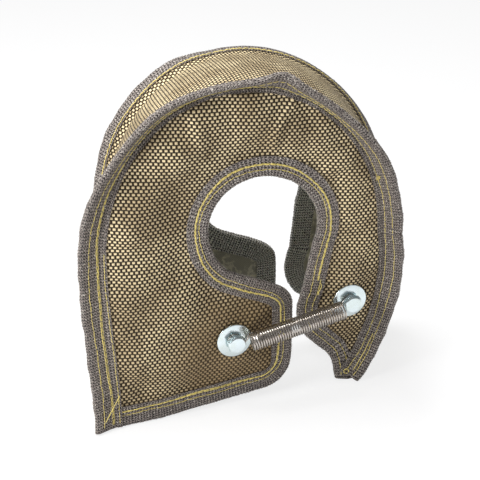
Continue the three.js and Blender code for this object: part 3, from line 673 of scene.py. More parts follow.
def knitted_tape(tape, name="knitted_wire_tape", light_gain=1.0):
    """Flat knitted wire tape: columns of V-shaped loops that run along it, with painted glints on the wires
    and painted shade in the gaps between the loops.
    """
    made = Finish(name, roughness=0.5, metallic=0.25 / light_gain, specular=0.6)
    # Painted light: a gain above 1 makes a brightened copy of the tape that stands in for light reaching a
    # tape in shade
    dull = tuple(min(1, c * light_gain * light_gain) for c in tape.dull_wire)
    lay, u, v = made.lay()
    wobble = made.noise(500, 2, lay) - 0.5
    wale = v * (1 / tape.wale_pitch) + wobble * 0.9
    from_spine = (wale.fraction() - 0.5).abs()
    course = u * (1 / tape.loop_pitch) + from_spine * 1.1 + wobble * 0.9
    legs = (course * (2 * math.pi)).sin() * 0.5 + 0.5
    loops = legs * 0.75 + from_spine.ease(0.08, 0.4) * 0.35
    speckle = made.noise(1250, 2, lay)
    # Painted glints: patches where the wires turn to the bright colour
    glint = made.noise(900, 3).ease(0.5, 0.72)
    wire = (loops * 0.8 + speckle * 0.8).ease(0.55, 1.05)
    tone = made.blend(glint * 0.85 + 0.08, dull, tape.light_wire)
    # The gaps between the loops get the painted shade
    made.paint(wire, tape.dark_gap, tone)
    made.bump(loops + speckle * 0.5, 0.0005)
    return made.material


def inner_mesh_cloth(cloth):
    """Fine dark wire mesh over the mat, with pale marbling where it is pressed. Its colours are raised above
    the mesh's own dark tone: painted light that stands in for light reaching the inside.
    """
    made = Finish("inner_wire_mesh", roughness=0.65, specular=0.35)
    lay, u, v = made.lay()
    pitch = 0.0011
    wires = ((u * (2 * math.pi / pitch)).sin() * (v * (2 * math.pi / pitch)).sin()).ease(-0.1, 0.7)
    marble = made.noise(150, 4)
    pressed = (marble - made.noise(60, 3)).abs().ease(0.0, 0.08)
    ground = made.blend(1 - pressed, cloth.liner_ground, cloth.liner_wire)
    glints = made.noise(1500, 1).ease(0.68, 0.8)
    tone = made.blend(wires * 0.55, ground, cloth.liner_wire)
    made.paint(glints * 0.5, tone, (0.55, 0.53, 0.45))
    made.bump(wires * 0.6 + marble, 0.0005)
    return made.material


def needled_mat(cloth):
    made = Finish("needled_mat", roughness=0.95, specular=0.2)
    fibres, tufts = made.noise(900, 5), made.noise(120, 3)
    dark = darker(cloth.mat_fibre, 0.6)
    made.paint((fibres * 0.7 + tufts * 0.5).ease(0.3, 0.9), dark, cloth.mat_fibre)
    made.bump(fibres + tufts, 0.0008)
    return made.material


def sewing_thread(tape):
    """Two-ply yellow thread with its twist."""
    made = Finish("sewing_thread", roughness=0.5, specular=0.5)
    fuzz = made.noise(2600, 2)
    shade = (fuzz * 0.8 + made.noise(90, 2) * 0.6).ease(0.35, 0.85)
    made.paint(shade, darker(tape.thread, 0.5), tape.thread)
    made.bump(fuzz, 0.0001)
    return made.material


def loop_wire(tape):
    """Single loops of the knitted wire that stand off the tape."""
    made = Finish("loop_wire", roughness=0.45, metallic=0.2)
    shade = made.noise(700, 2).ease(0.35, 0.65)
    made.paint(shade, tape.dull_wire, tape.light_wire)
    return made.material


def zinc_plate(hardware):
    made = Finish("bright_zinc", roughness=0.2, metallic=1.0)
    cloud, fine = made.noise(160, 3), made.noise(1400, 2)
    warm = tuple(c * k for c, k in zip(hardware.zinc, (0.93, 0.93, 0.88)))
    made.paint(cloud.ease(0.35, 0.7), hardware.zinc, warm)
    made.set(Roughness=0.13 + cloud * 0.16)
    made.bump(fine + cloud, 0.00006)
    return made.material


def drawn_wire(hardware):
    made = Finish("drawn_spring_wire", roughness=0.27, metallic=1.0)
    streak = made.noise(260, 2)
    dark = darker(hardware.spring, 0.75)
    made.paint(streak.ease(0.3, 0.75), dark, hardware.spring)
    return made.material


# Shared state of the pieces: the two panels are worked out once

built = {}


def panel(side):
    if side not in built:
        cloth = bpy.context.scene.blanket_cloth
        gathers = {  # angle about the port, half width, height, and reach from the seam
            -1: [
                (172, 7, 1.0, 34), (151, 6, -1.1, 40), (138, 7, 1.2, 36), (124, 4, 1.5, 40),
                (112, 6, -0.9, 36), (100, 6, 0.9, 30), (87, 5, -0.8, 30), (79, 2.6, 1.9, 48),
                (70, 5, -0.8, 34), (58, 6, 1.0, 30), (44, 4, 1.4, 38), (34, 5, -0.9, 32),
                (22, 6, 1.0, 30), (8, 6, -0.6, 26),
            ],
            1: [
                (160, 6, 0.9, 34), (135, 6, -0.8, 34), (112, 6, 1.0, 34), (88, 6, -0.7, 30),
                (62, 6, 1.0, 32), (35, 6, 0.8, 30),
            ],
        }[side]
        relief = {
            "pillow": cloth.pillow / MM,
            "side_waves": cloth.side_waves / MM,
            "slow": cloth.slow_waves / MM,
            "gathers": gathers,
        }
        built[side] = Panel(side, relief)
    return built[side]


FINISHES = {
    "cloth": (woven_cloth, "cloth"),
    "liner": (inner_mesh_cloth, "cloth"),
    "mat": (needled_mat, "cloth"),
    "tape": (knitted_tape, "tape"),
    # Painted light: a brightened copy of the tape for the back opening, which lies in shade inside the
    # blanket
    "brightened tape": (knitted_tape, "tape", "bare_wire_tape", 2.1),
    "thread": (sewing_thread, "tape"),
    "wire": (loop_wire, "tape"),
    "zinc": (zinc_plate, "hardware"),
    "spring": (drawn_wire, "hardware"),
}


def finish_of(name):
    """Each finish is made once and shared by the pieces that have it."""
    if name not in built:
        make, group, *more = FINISHES[name]
        built[name] = make(getattr(bpy.context.scene, f"blanket_{group}"), *more)
    return built[name]


def outer_cloth(side, word):
    name = f"{word}_cloth"
    made = panel(side)
    grid = made.grid
    face = made.face_at(grid, made.from_edge, made.from_seam)
    face[:, -1] = 0
    mitre = np.tan(made.lean() / 2)
    layers = []
    for level in (CLOTH_OUT, CLOTH_IN):
        flat = place(side, grid[..., 0], grid[..., 1], level + face)[:, :-1]
        fin = [made.fin_point(along, level) for along in (mitre * level, *FIN_ROWS)]
        layers.append(np.concatenate([flat, np.stack(fin, 1)], 1))
    fin_uv = made.seam[:, None] + made.normal[:, None] * np.array([0, *FIN_ROWS])[None, :, None]
    uv = np.concatenate([grid[:, :-1], fin_uv], 1) * MM
    obj = sheet_mesh(name, *layers, uv)
    finish_piece(obj, finish_of("cloth"), "outer_fabric", f"{word}_outer_fabric")


def panel_layer(side, name, node, outer, inner, look, slot_name, first=0.0, rows=slice(None)):
    """A flat layer inside the panel, stopping short of the band's own layers."""
    made = panel(side)
    keep = np.where(made.span > MAT_START + 14)[0][rows]
    start = np.clip(first / made.span, 0, 0.6)[:, None]
    scale = mix(start, 1 - INSET / made.span[:, None], np.linspace(0, 1, 40))
    columns = np.linspace(0, 1, made.grid.shape[1])
    grid = np.stack([resample(s, columns, g) for s, g in zip(scale, made.grid)])[keep]
    from_edge = distance_to(grid, made.opening)
    from_seam = distance_to(grid, made.seam)
    face = made.face_at(grid, from_edge, from_seam)
    depth = made.padding(from_edge)
    layers = [place(side, grid[..., 0], grid[..., 1], level(face, depth)) for level in (outer, inner)]
    obj = sheet_mesh(name, *layers, grid * MM)
    return finish_piece(obj, finish_of(look), slot_name, node)


def band_points(share, out):
    """Points of the band between the seams for every row, standing out along its normal."""
    front, back = panel(-1), panel(1)
    normal = unit(mix(front.normal, back.normal, share))
    x, z = (mix(front.seam, back.seam, share) + normal * out[:, None]).T
    return np.stack([x, np.full(len(x), mix(-PANEL_GAP / 2, PANEL_GAP / 2, share)) + lean_back(x, z), z], -1)


def band_rise(share):
    """How far the band's cloth bulges and sags out from its seams, for every row."""
    front = panel(-1)
    hump = 4 * share * (1 - share)
    sag = 0.35 * np.sin(front.along / 17 + share * 5) * np.sin(front.along / 41 + 2)
    return (BAND_BULGE + sag) * hump * front.end_share(HEM_ZONE, HEM_ZONE + 20)


def band_cloth():
    front, back = panel(-1), panel(1)
    shares = np.linspace(0.02, 0.98, 36)
    mitres = [np.tan((np.pi / 2 - made.lean()) / 2) for made in (front, back)]
    layers = []
    for level in (CLOTH_OUT, CLOTH_IN):
        strips = [front.fin_point(along, -level) for along in (*FIN_ROWS[::-1], mitres[0] * level)]
        strips += [band_points(share, level + band_rise(share)) for share in shares]
        strips += [back.fin_point(along, -level) for along in (mitres[1] * level, *FIN_ROWS)]
        layers.append(np.stack(strips, 1))
    depth = np.concatenate([-FIN_ROWS[::-1], [0], shares * PANEL_GAP, [PANEL_GAP], PANEL_GAP + FIN_ROWS])
    across_band, around = np.meshgrid(depth, front.along)
    uv = np.stack([across_band, around + BAND_SKEW * across_band], -1) * MM
    obj = sheet_mesh("band_cloth", *layers, uv)
    finish_piece(obj, finish_of("cloth"), "outer_fabric", "gusset_outer_fabric")


def band_layer(name, node, outer, inner, look, slot_name, reach):
    front = panel(-1)
    rim = 0.3 / PANEL_GAP
    shares = np.array([rim, *np.linspace(0.04, 0.96, 24), 1 - rim])
    keep = front.to_end >= reach
    depth = MAT_DEPTH * front.end_share(12, 17)
    layers = []
    for level in (outer, inner):
        strips = [band_points(share, level(band_rise(share), depth))[keep] for share in shares]
        layers.append(np.stack(strips, 1))
    uv = np.stack(np.meshgrid(shares * PANEL_GAP, front.along[keep]), -1) * MM
    obj = sheet_mesh(name, *layers, uv)
    return finish_piece(obj, finish_of(look), slot_name, node)


def tape_mesh(name, outer, inner, along):
    """A folded tape between two profile grids, with its width laid out from its first edge."""
    width = np.linalg.norm(np.diff(outer, axis=1), axis=2).mean(0)
    across = np.concatenate([[0], np.cumsum(width)])
    uv = np.stack(np.meshgrid(along, across, indexing="ij"), -1) * MM
    obj = sheet_mesh(name.replace("binding", "tape"), outer, inner, uv)
    # Painted light: the back opening tape, in shade inside the blanket, gets the brightened copy of the tape
    finish_piece(obj, finish_of("brightened tape" if name.startswith("back_opening") else "tape"), "binding", name)
    built[name] = (outer, inner, across, along)


def seam_tape(side, name):
    """Tape folded over a seam fin. Its front leg turns at the crease and lies on the panel."""
    made = panel(side)
    base = bpy.context.scene.blanket_tape.base_reach / MM
    ends = 1 - made.end_share(9, 13)
    along = made.along
    ruffle = 0.35 * np.sin(along / 5.3) * np.sin(along / 23 + side) + 0.2 * np.sin(along / 2.1)
    fold, wave = FIN_WIDTH - TAPE[0] + ruffle, 0.12 * ruffle
    grids = []
    for level in TAPE:
        columns = [made.panel_point(inward, level + ends * 1.1) for inward in np.linspace(base, 0.9, 4)]
        columns.append(made.fin_point(np.tan(made.lean() / 2) * level + 0.3, level + ends * 0.5))
        spots = [(mix(TAPE_START[-1], fold, share), level) for share in np.linspace(0, 1, 9)[1:]]
        spots += [(fold + level * np.cos(turn), level * np.sin(turn)) for turn in TURNS]
        spots += [(mix(TAPE_START[side], fold, share), -level) for share in np.linspace(1, 0, 8)]
        columns += [made.fin_point(out, above + wave) for out, above in spots]
        grids.append(np.stack(columns, 1))
    tape_mesh(name, *grids, along)


def opening_tape(side, name):
    """Tape folded over the free edge: along the foot, up the slot, round the port and down the leg."""
    made = panel(side)
    reach = bpy.context.scene.blanket_tape.hem_width / MM
    first = made.foot_start + LINER_OUT + 0.6
    line = np.concatenate([[(first, float(made.foot_height(np.array(first))))],
                           made.foot[made.foot[:, 0] > first + 0.5], made.edge])
    steps = travel(line)
    toe = len(line) if side > 0 else np.searchsorted(steps, steps[-1] - TOE_TURN)
    if side < 0:
        bend = [line[toe], (TOE_X - 5, 18.5), (TOE_X - 6, 11), (TOE_X - 4, 1.9)]
        line[toe:] = bezier(bend, len(line) - toe)
    normal = -left_normals(line)
    turning = np.linspace(0, 1, len(line) - toe)[:, None] ** 2
    normal[toe:] = unit(mix(normal[toe:], np.array([-0.96, 0.28]), turning))
    room = distance_to(line, made.seam)
    room[toe:] = np.maximum(room[toe:], 15)

    foot = np.arange(len(line)) < len(line) - len(made.edge)
    inner_leg, outer_leg = (np.where(foot, reach, np.clip(room - clear, 0.9, reach)) for clear in (4.8, 4.2))
    ruffle = 0.22 * np.sin(steps / 4.1) * np.sin(steps / 19 + side) + 0.12 * np.sin(steps / 1.7)
    grids = []
    for level in EDGE_TAPE:
        spots = [(-share * outer_leg, level + 0.1 * ruffle, share) for share in np.linspace(1, 0, 9)]
        spots += [((level + 0.5 * ruffle) * np.cos(turn), level * np.sin(turn), 0) for turn in TURNS]
        spots += [(-share * inner_leg, -level, share) for share in np.linspace(0, 1, 9)]
        columns = []
        for out, face, share in spots:
            point = line + normal * (EDGE_FOLD * (1 - share) + out)[:, None]
            columns.append(place(side, *point.T, EDGE_MIDDLE + face))
        grids.append(np.stack(columns, 1))
    tape_mesh(name, *grids, steps)


def end_tape(name, row, next_row):
    """Tape folded over one end of the band."""
    shares = np.linspace(0.045, 0.955, 30)
    legs = np.linspace(EDGE_FOLD, -END_REACH, 7)
    rows = len(panel(-1).share)

    def point(share, out, face):
        base = band_points(share, np.full(rows, face))
        return base[row] + unit(base[row] - base[next_row]) * out

    grids = []
    for level in EDGE_TAPE:
        spots = [(out, level) for out in legs[::-1]]
        spots += [(EDGE_FOLD + level * np.cos(turn), level * np.sin(turn)) for turn in TURNS]
        spots += [(out, -level) for out in legs]
        strips = [[point(share, out, EDGE_MIDDLE + face) for out, face in spots] for share in shares]
        grids.append(np.array(strips))
    tape_mesh(name, *grids, shares * PANEL_GAP)


# Stitches


def stitch_tree():
    """Rows of arched stitches along a line, made with Geometry Nodes."""
    tree = bpy.data.node_groups.new("Stitch row", "GeometryNodeTree")

    def socket(name, kind, default=None, in_out="INPUT"):
        made = tree.interface.new_socket(name, in_out=in_out, socket_type=f"NodeSocket{kind}")
        if default is not None:
            made.default_value = default

    def add(*kind, **inputs):
        return add_node(tree, *kind, **inputs)

    socket("Line", "Geometry")
    for name in ("Stitch length", "Gap", "Thread radius", "Arch", "Looseness"):
        socket(name, "Float", 0.001)
    socket("Seed", "Int", 3)
    socket("Thread", "Material")
    socket("Stitches", "Geometry", in_out="OUTPUT")
    given = {made.name: Value(tree, made) for made in add("NodeGroupInput").outputs}
    half = given["Stitch length"] * 0.5
    curve = add("GeometryNodeMeshToCurve", Mesh=given["Line"])
    points = add("GeometryNodeCurveToPoints", {"mode": "LENGTH"}, Curve=curve,
                 Length=given["Stitch length"] + given["Gap"])
    core = add("GeometryNodeCurvePrimitiveLine", Start=add("ShaderNodeCombineXYZ", X=half * -1.0),
               End=add("ShaderNodeCombineXYZ", X=half))
    core = add("GeometryNodeResampleCurve", Curve=core, Count=7)
    split = add("ShaderNodeSeparateXYZ", _0=add("GeometryNodeInputPosition"))
    share = Value(tree, split.outputs[0]) / half
    drop = add("ShaderNodeCombineXYZ", Z=share * share * given["Arch"] * -1.0)
    bent = add("GeometryNodeSetPosition", Geometry=core, Offset=drop)
    ring = add("GeometryNodeCurvePrimitiveCircle", Resolution=6, Radius=given["Thread radius"])
    stitch = add("GeometryNodeCurveToMesh", Curve=bent, Profile_Curve=ring, Fill_Caps=True)
    up = add("GeometryNodeInputNamedAttribute", {"data_type": "FLOAT_VECTOR"}, Name="up")
    heading = add("FunctionNodeAlignRotationToVector", {"axis": "X"}, Vector=points.outputs["Tangent"])
    standing = add("FunctionNodeAlignRotationToVector", {"axis": "Z", "pivot_axis": "X"}, Rotation=heading,
                   Vector=up)
    random = add("FunctionNodeRandomValue", {"data_type": "FLOAT_VECTOR"}, _0=(-0.6, -0.6, -1),
                 _1=(0.6, 0.6, 1), Seed=given["Seed"])
    jitter = add("ShaderNodeVectorMath", {"operation": "SCALE"}, _0=random, Scale=given["Looseness"])
    turned = add("FunctionNodeRotateRotation", {"rotation_space": "LOCAL"}, Rotation=standing,
                 Rotate_By=add("FunctionNodeEulerToRotation", Euler=jitter))
    copies = add("GeometryNodeInstanceOnPoints", Points=points, Instance=stitch, Rotation=turned)
    real = add("GeometryNodeRealizeInstances", Geometry=copies)
    shaded = add("GeometryNodeSetShadeSmooth", Geometry=real)
    add("NodeGroupOutput", _0=add("GeometryNodeSetMaterial", Geometry=shaded, Material=given["Thread"]))
    return tree


# Share of the stitch setting, gap in metres, share of the thread setting, arch, looseness, finish, seed
SEWING = {
    "thin": (1.0, 0.0004, 0.78, 0.0003, 0.12, "thread", 3),
    "bold": (1.0, 0.0002, 1.15, 0.0004, 0.16, "thread", 5),
    "wire": (0.5, 0.0001, 0.34, 0.0009, 1.3, "wire", 7),
}


def thread_rows(name, rows, kind="thin"):
    """Stitches along rows of (points, ups) in pattern coordinates, as one mesh."""
    tape = bpy.context.scene.blanket_tape
    share, gap, thickness, arch, loose, look, seed = SEWING[kind]
    if "stitches" not in built:
        built["stitches"] = stitch_tree()
    vertices, edges, ups = [], [], []
    for points, up in rows:
        first = len(vertices)
        vertices.extend(to_world(points).tolist())
        ups.extend(up.tolist())
        edges.extend((first + k, first + k + 1) for k in range(len(points) - 1))
    mesh = bpy.data.meshes.new(name + "_line")
    mesh.from_pydata(vertices, edges, [])
    attribute = mesh.attributes.new("up", "FLOAT_VECTOR", "POINT")
    attribute.data.foreach_set("vector", np.array(ups, np.float32).ravel())
    guide = put(bpy.data.objects.new(name + "_line", mesh))
    modifier = guide.modifiers.new("Stitches", "NODES")
    modifier.node_group = built["stitches"]
    inputs = {
        "Stitch length": tape.stitch * share, "Gap": gap, "Thread radius": tape.thread_radius * thickness,
        "Arch": arch, "Looseness": loose, "Seed": seed, "Thread": finish_of(look),
    }
    for item in modifier.node_group.interface.items_tree:
        if item.name in inputs:
            modifier[item.identifier] = inputs[item.name]
    evaluated = guide.evaluated_get(bpy.context.evaluated_depsgraph_get())
    plain = bpy.data.meshes.new_from_object(evaluated)
    guide.modifiers.remove(modifier)
    bpy.data.objects.remove(guide)
    plain.name = name
    finish_piece(put(bpy.data.objects.new(name, plain)), finish_of(look), "binding")


def row_on(name, across, rows=slice(None), lift=0.2, sway=0.0):
    """A line on a tape at a distance from its first edge, with the tape's outward direction."""
    outer, inner, widths, along = built[name]
    column = np.interp(np.broadcast_to(across, len(along)), widths, np.arange(len(widths)))
    low = np.minimum(column.astype(int), len(widths) - 2)
    part, each = (column - low)[:, None], np.arange(len(along))
    point = mix(outer[each, low], outer[each, low + 1], part)
    up = unit(point - mix(inner[each, low], inner[each, low + 1], part))
    side = unit(outer[each, low + 1] - outer[each, low])
    drift = sway * (np.sin(along / 13 + low) + 0.5 * np.sin(along / 4.3))
    return (point + up * lift + side * drift[:, None])[rows], up[rows]


# Hardware


def node_points(node):
    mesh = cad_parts[node].data
    points = np.zeros(len(mesh.vertices) * 3)
    mesh.vertices.foreach_get("co", points)
    return np.unique(points.reshape(-1, 3).round(7), axis=0)


def anchor_axes(name):
    """Centre and axes of an anchor, read from its outer washer. The third axis points out of the panel."""
    points = node_points(f"{name}_outer_washer")
    centre = (points.min(0) + points.max(0)) / 2
    axis = np.linalg.svd(points - centre, full_matrices=False)[2][2]
    axis *= -np.sign(axis[1])
    other = "right" if name == "left" else "left"
    toward = (node_points(f"{other}_outer_washer").mean(0) - centre) * (1 if name == "left" else -1)
    toward = unit(toward - axis * (toward @ axis))
    return centre, toward, np.cross(axis, toward), axis


def heights_of(node, axes):
    """Lowest and highest point of a node along the bolt, in millimetres from the outer washer's middle."""
    heights = (node_points(node) - axes[0]) @ axes[3] / MM
    return heights.min(), heights.max()


def hexagon(low, high):
    """Shape of a hexagon, chamfered at its high end, for a turned profile."""
    def outline(angle, radius, height):
        turn = (angle + np.pi / 6) % (np.pi / 3) - np.pi / 6
        outer = radius > HALF_FLATS - 0.01
        shaped = np.where(outer, HALF_FLATS / np.cos(turn) + (radius - HALF_FLATS), radius)
        chamfer = np.maximum(0, shaped - HALF_FLATS) * 0.55
        return shaped, np.where(outer & (height > (low + high) / 2), height - chamfer, height)
    return outline


def washer_profile(radius):
    """Section of a washer whose face falls a little from the bolt's head to its rounded rim."""
    edge, dish, flat, half = 0.35, 0.55, 5.4, WASHER_THICK / 2
    rim = [
        (radius - edge + edge * math.cos(math.radians(angle)), height + edge * math.sin(math.radians(angle)))
        for height, angles in ((half - edge - dish, (90, 60, 30, 0)), (edge - half, (0, -30, -60, -90)))
        for angle in angles
    ]
    slope = [(flat + (radius - edge - flat) * k / 6, half - dish * (k / 6) ** 1.5) for k in range(6)]
    return [*slope, *rim, (BORE + 0.2, -half), (BORE, 0.2 - half), (BORE, half - 0.2), (BORE + 0.2, half)]


# Operators


class PieceOperator:
    bl_options = {"REGISTER"}


class BLANKET_OT_outer_cloth(PieceOperator, bpy.types.Operator):
    """Make the woven outer cloths of both panels and of the band."""

    bl_idname = "blanket.outer_cloth"
    bl_label = "Outer cloth"

    def execute(self, context):
        outer_cloth(-1, "front")
        outer_cloth(1, "back")
        band_cloth()
        return {"FINISHED"}


class BLANKET_OT_lining(PieceOperator, bpy.types.Operator):
    """Make the mats and the wire mesh liners."""

    bl_idname = "blanket.lining"
    bl_label = "Mats and liners"

    def execute(self, context):
        mat_outer = lambda face, depth: face * 0.92 - 0.15
        mat_inner = lambda face, depth: 0.15 - depth
        liner_outer = lambda face, depth: -depth - 0.15
        liner_inner = lambda face, depth: -depth - LINER_OUT
        for side, word in ((-1, "front"), (1, "back")):
            mat = panel_layer(side, f"{word}_mat", f"{word}_insulation", mat_outer, mat_inner, "mat",
                              "insulation", first=MAT_START, rows=slice(14, None))
            liner = panel_layer(side, f"{word}_mesh", f"{word}_liner", liner_outer, liner_inner, "liner",
                                "liner")
        mat = band_layer("band_mat", "gusset_insulation", lambda rise, depth: rise - 0.15, mat_inner, "mat",
                         "insulation", 17)
        liner = band_layer("band_mesh", "gusset_liner", liner_outer, liner_inner, "liner", "liner", 0)
        return {"FINISHED"}


class BLANKET_OT_tapes(PieceOperator, bpy.types.Operator):
    """Make the folded wire tapes on the seams, the opening edges and the ends of the band."""

    bl_idname = "blanket.tapes"
    bl_label = "Tapes"

    def execute(self, context):
        seam_tape(-1, "front_perimeter_binding")
        seam_tape(1, "back_perimeter_binding")
        opening_tape(-1, "front_opening_binding")
        opening_tape(1, "back_opening_binding")
        rows = len(panel(-1).share)
        end_tape("left_gusset_end_binding", 0, 5)
        end_tape("right_gusset_end_binding", rows - 1, rows - 8)
        return {"FINISHED"}


class BLANKET_OT_stitches(PieceOperator, bpy.types.Operator):
    """Sew the yellow thread rows along the tapes."""

    bl_idname = "blanket.stitches"
    bl_label = "Stitches"

    def execute(self, context):
        seam, back = "front_perimeter_binding", "back_perimeter_binding"
        ring, back_ring = "front_opening_binding", "back_opening_binding"
        crease = context.scene.blanket_tape.base_reach / MM + 1.2
        steps = built[ring][3]
        foot_end = SLOT_X - panel(-1).foot_start
        bold = mix(2.3, 4.6, smooth(steps, foot_end - 10, foot_end + 30))
        bold_end = int(np.searchsorted(steps, steps[-1] - BOLD_STOP))
        inside, start = slice(2, -2), slice(0, bold_end)
        thread_rows("thin_stitches", [
            row_on(seam, crease, inside, sway=0.3), row_on(seam, crease + 5.4, inside, sway=0.35),
            row_on(seam, 1.3, slice(2, 75), sway=0.2), row_on(ring, bold + 2.9, inside, sway=0.4),
            row_on(ring, np.minimum(bold, 3.2), slice(bold_end, -2), sway=0.2),
            row_on(back, crease, inside, sway=0.25), row_on(back_ring, 3.0, sway=0.3),
            row_on(back_ring, 5.6, sway=0.3), row_on("left_gusset_end_binding", 3.0),
            row_on("right_gusset_end_binding", 3.0),
        ])
        thread_rows("bold_stitches", [
            row_on(seam, crease + 0.7, slice(2, 95), sway=0.35), row_on(ring, bold, start, sway=0.4),
            row_on(ring, bold + 0.45, start, sway=0.3),
            row_on(back, built[back][2][-1] - 1.0, inside, sway=0.3),
        ], "bold")
        for name in (seam, back, ring, back_ring):
            widths = built[name][2]
            fold = widths[len(widths) // 2 + (3 if "perimeter" in name else 0)]
            thread_rows(name.replace("binding", "loops"), [
                row_on(name, across, lift=0.15, sway=0.3)
                for across in (fold - 1.6, fold - 0.7, fold, fold + 0.8, 1.0)
            ], "wire")
        toe, end = row_on(ring, 4.5, -4, 1.8)[0], row_on(ring, 3.4, bold_end, 0.8)[0]
        low, high = row_on(seam, crease + 5.4, 3, 0.8)[0], row_on(seam, 0.6, 11, 1.1)[0]
        knot = row_on(seam, crease + 1.0, int(len(panel(-1).share) * KNOT_SHARE), 0.9)[0]
        threads = [
            [toe + 1.6 * np.array([math.cos(a), 0, math.sin(a)]) for a in np.linspace(-0.6, 5.2, 16)],
            [row_on(seam, crease + 3.4, k, 0.7 + 0.3 * math.sin(k))[0] for k in range(-20, -3, 2)],
            [end + np.array([0.9 * math.sin(k / 2), -0.1 * k, -0.75 * k]) for k in range(11)],
            [mix(low, high, k / 8) for k in range(9)],
            [knot + np.array([1.3 * math.sin(2.1 * k), -0.25 * math.cos(3 * k), 1.2 * math.cos(1.7 * k)])
             for k in range(13)],
        ]
        loose = tube_mesh("loose_threads", map(np.array, threads), LOOSE_RADIUS, 6)
        finish_piece(loose, finish_of("thread"), "binding")
        return {"FINISHED"}


class BLANKET_OT_anchors(PieceOperator, bpy.types.Operator):
    """Make the two bolts with their washers and nuts."""

    bl_idname = "blanket.anchors"
    bl_label = "Bolts, washers and nuts"

    def execute(self, context):
        for name in ("left", "right"):
            axes = anchor_axes(name)
            low, high = heights_of(f"{name}_inner_washer", axes)
            behind = (axes[0] + axes[3] * (low + high) / 2 * MM, *axes[1:])
            low, high = heights_of(f"{name}_nut", axes)
            nut = [
                (3.6, high), (4.6, high), (HALF_FLATS, high - 0.1), (HALF_FLATS, low + 0.1),
                (4.6, low), (3.6, low), (BORE, low + 0.3), (BORE, high - 0.3),
            ]
            tip, top = heights_of(f"{name}_anchor_bolt", axes)
            base = top - HEAD_HEIGHT
            bolt = [
                (0.001, top), (4.3, top), (4.8, top - 0.05), (HALF_FLATS, top - 0.2),
                (HALF_FLATS, base + 0.15), (4.8, base), (3.1, base),
            ]
            z = base - 0.6
            while z > tip + 1.2:
                bolt += [(3.0, z), (2.7, z - 0.5)]
                z -= 1.0
            bolt += [(2.6, tip + 0.6), (2.2, tip), (0.001, tip)]
            for word, node, profile, at, outline in (
                ("large_washer", "outer_washer", washer_profile(WASHER_RADIUS), axes, None),
                ("backing_washer", "inner_washer", washer_profile(BACKING_RADIUS), behind, None),
                ("hex_nut", "nut", nut, axes, hexagon(low, high)),
                ("hex_bolt", "anchor_bolt", bolt, axes, hexagon(base, top)),
            ):
                piece = turned_mesh(f"{name}_{word}", profile, at, outline)
                finish_piece(piece, finish_of("zinc"), "zinc_hardware", f"{name}_{node}")
        return {"FINISHED"}


class BLANKET_OT_spring(PieceOperator, bpy.types.Operator):
    """Wind the closing spring with a hook at each end."""

    bl_idname = "blanket.spring"
    bl_label = "Closing spring"

    def execute(self, context):
        radius = context.scene.blanket_hardware.wire_radius / MM
        bend = BORE + radius
        anchors = [anchor_axes(name) for name in ("left", "right")]
        origin = np.array([ORIGIN_X, ORIGIN_Y, 0])
        left, right = (axes[0] / MM + origin + axes[3] * HOOK_LIFT for axes in anchors)
        body = np.linalg.norm(right - left) - sum(SPRING_ENDS)
        along = unit(right - left)
        across = unit(np.cross(anchors[0][3], along))
        up = np.cross(along, across)
        spot = lambda origin, a, b, c=0.0: origin + along * a + across * b + up * c

        def hook(origin, start, end, step):
            angles = np.radians(np.arange(start, end, step))
            return [spot(origin, bend * math.cos(angle), bend * math.sin(angle)) for angle in angles]

        points = [*hook(left, *HOOK_ARCS[0]), spot(left, 4.3, -2.9, 0.2)]
        count = int(body / (2 * radius * COIL_PITCH)) * COIL_STEPS
        for k in range(count + 1):
            angle = k * 2 * math.pi / COIL_STEPS
            rise = 0.45 + COIL_RADIUS * (1 - math.cos(angle))
            points.append(spot(left, SPRING_ENDS[0] + body * k / count, COIL_RADIUS * math.sin(angle), rise))
        points += [spot(right, -3.6, 2.9, 0.2), *hook(right, *HOOK_ARCS[1])]
        obj = tube_mesh("extension_spring", [np.array(points)], radius)
        finish_piece(obj, finish_of("spring"), "spring_wire", "closing_spring")
        return {"FINISHED"}


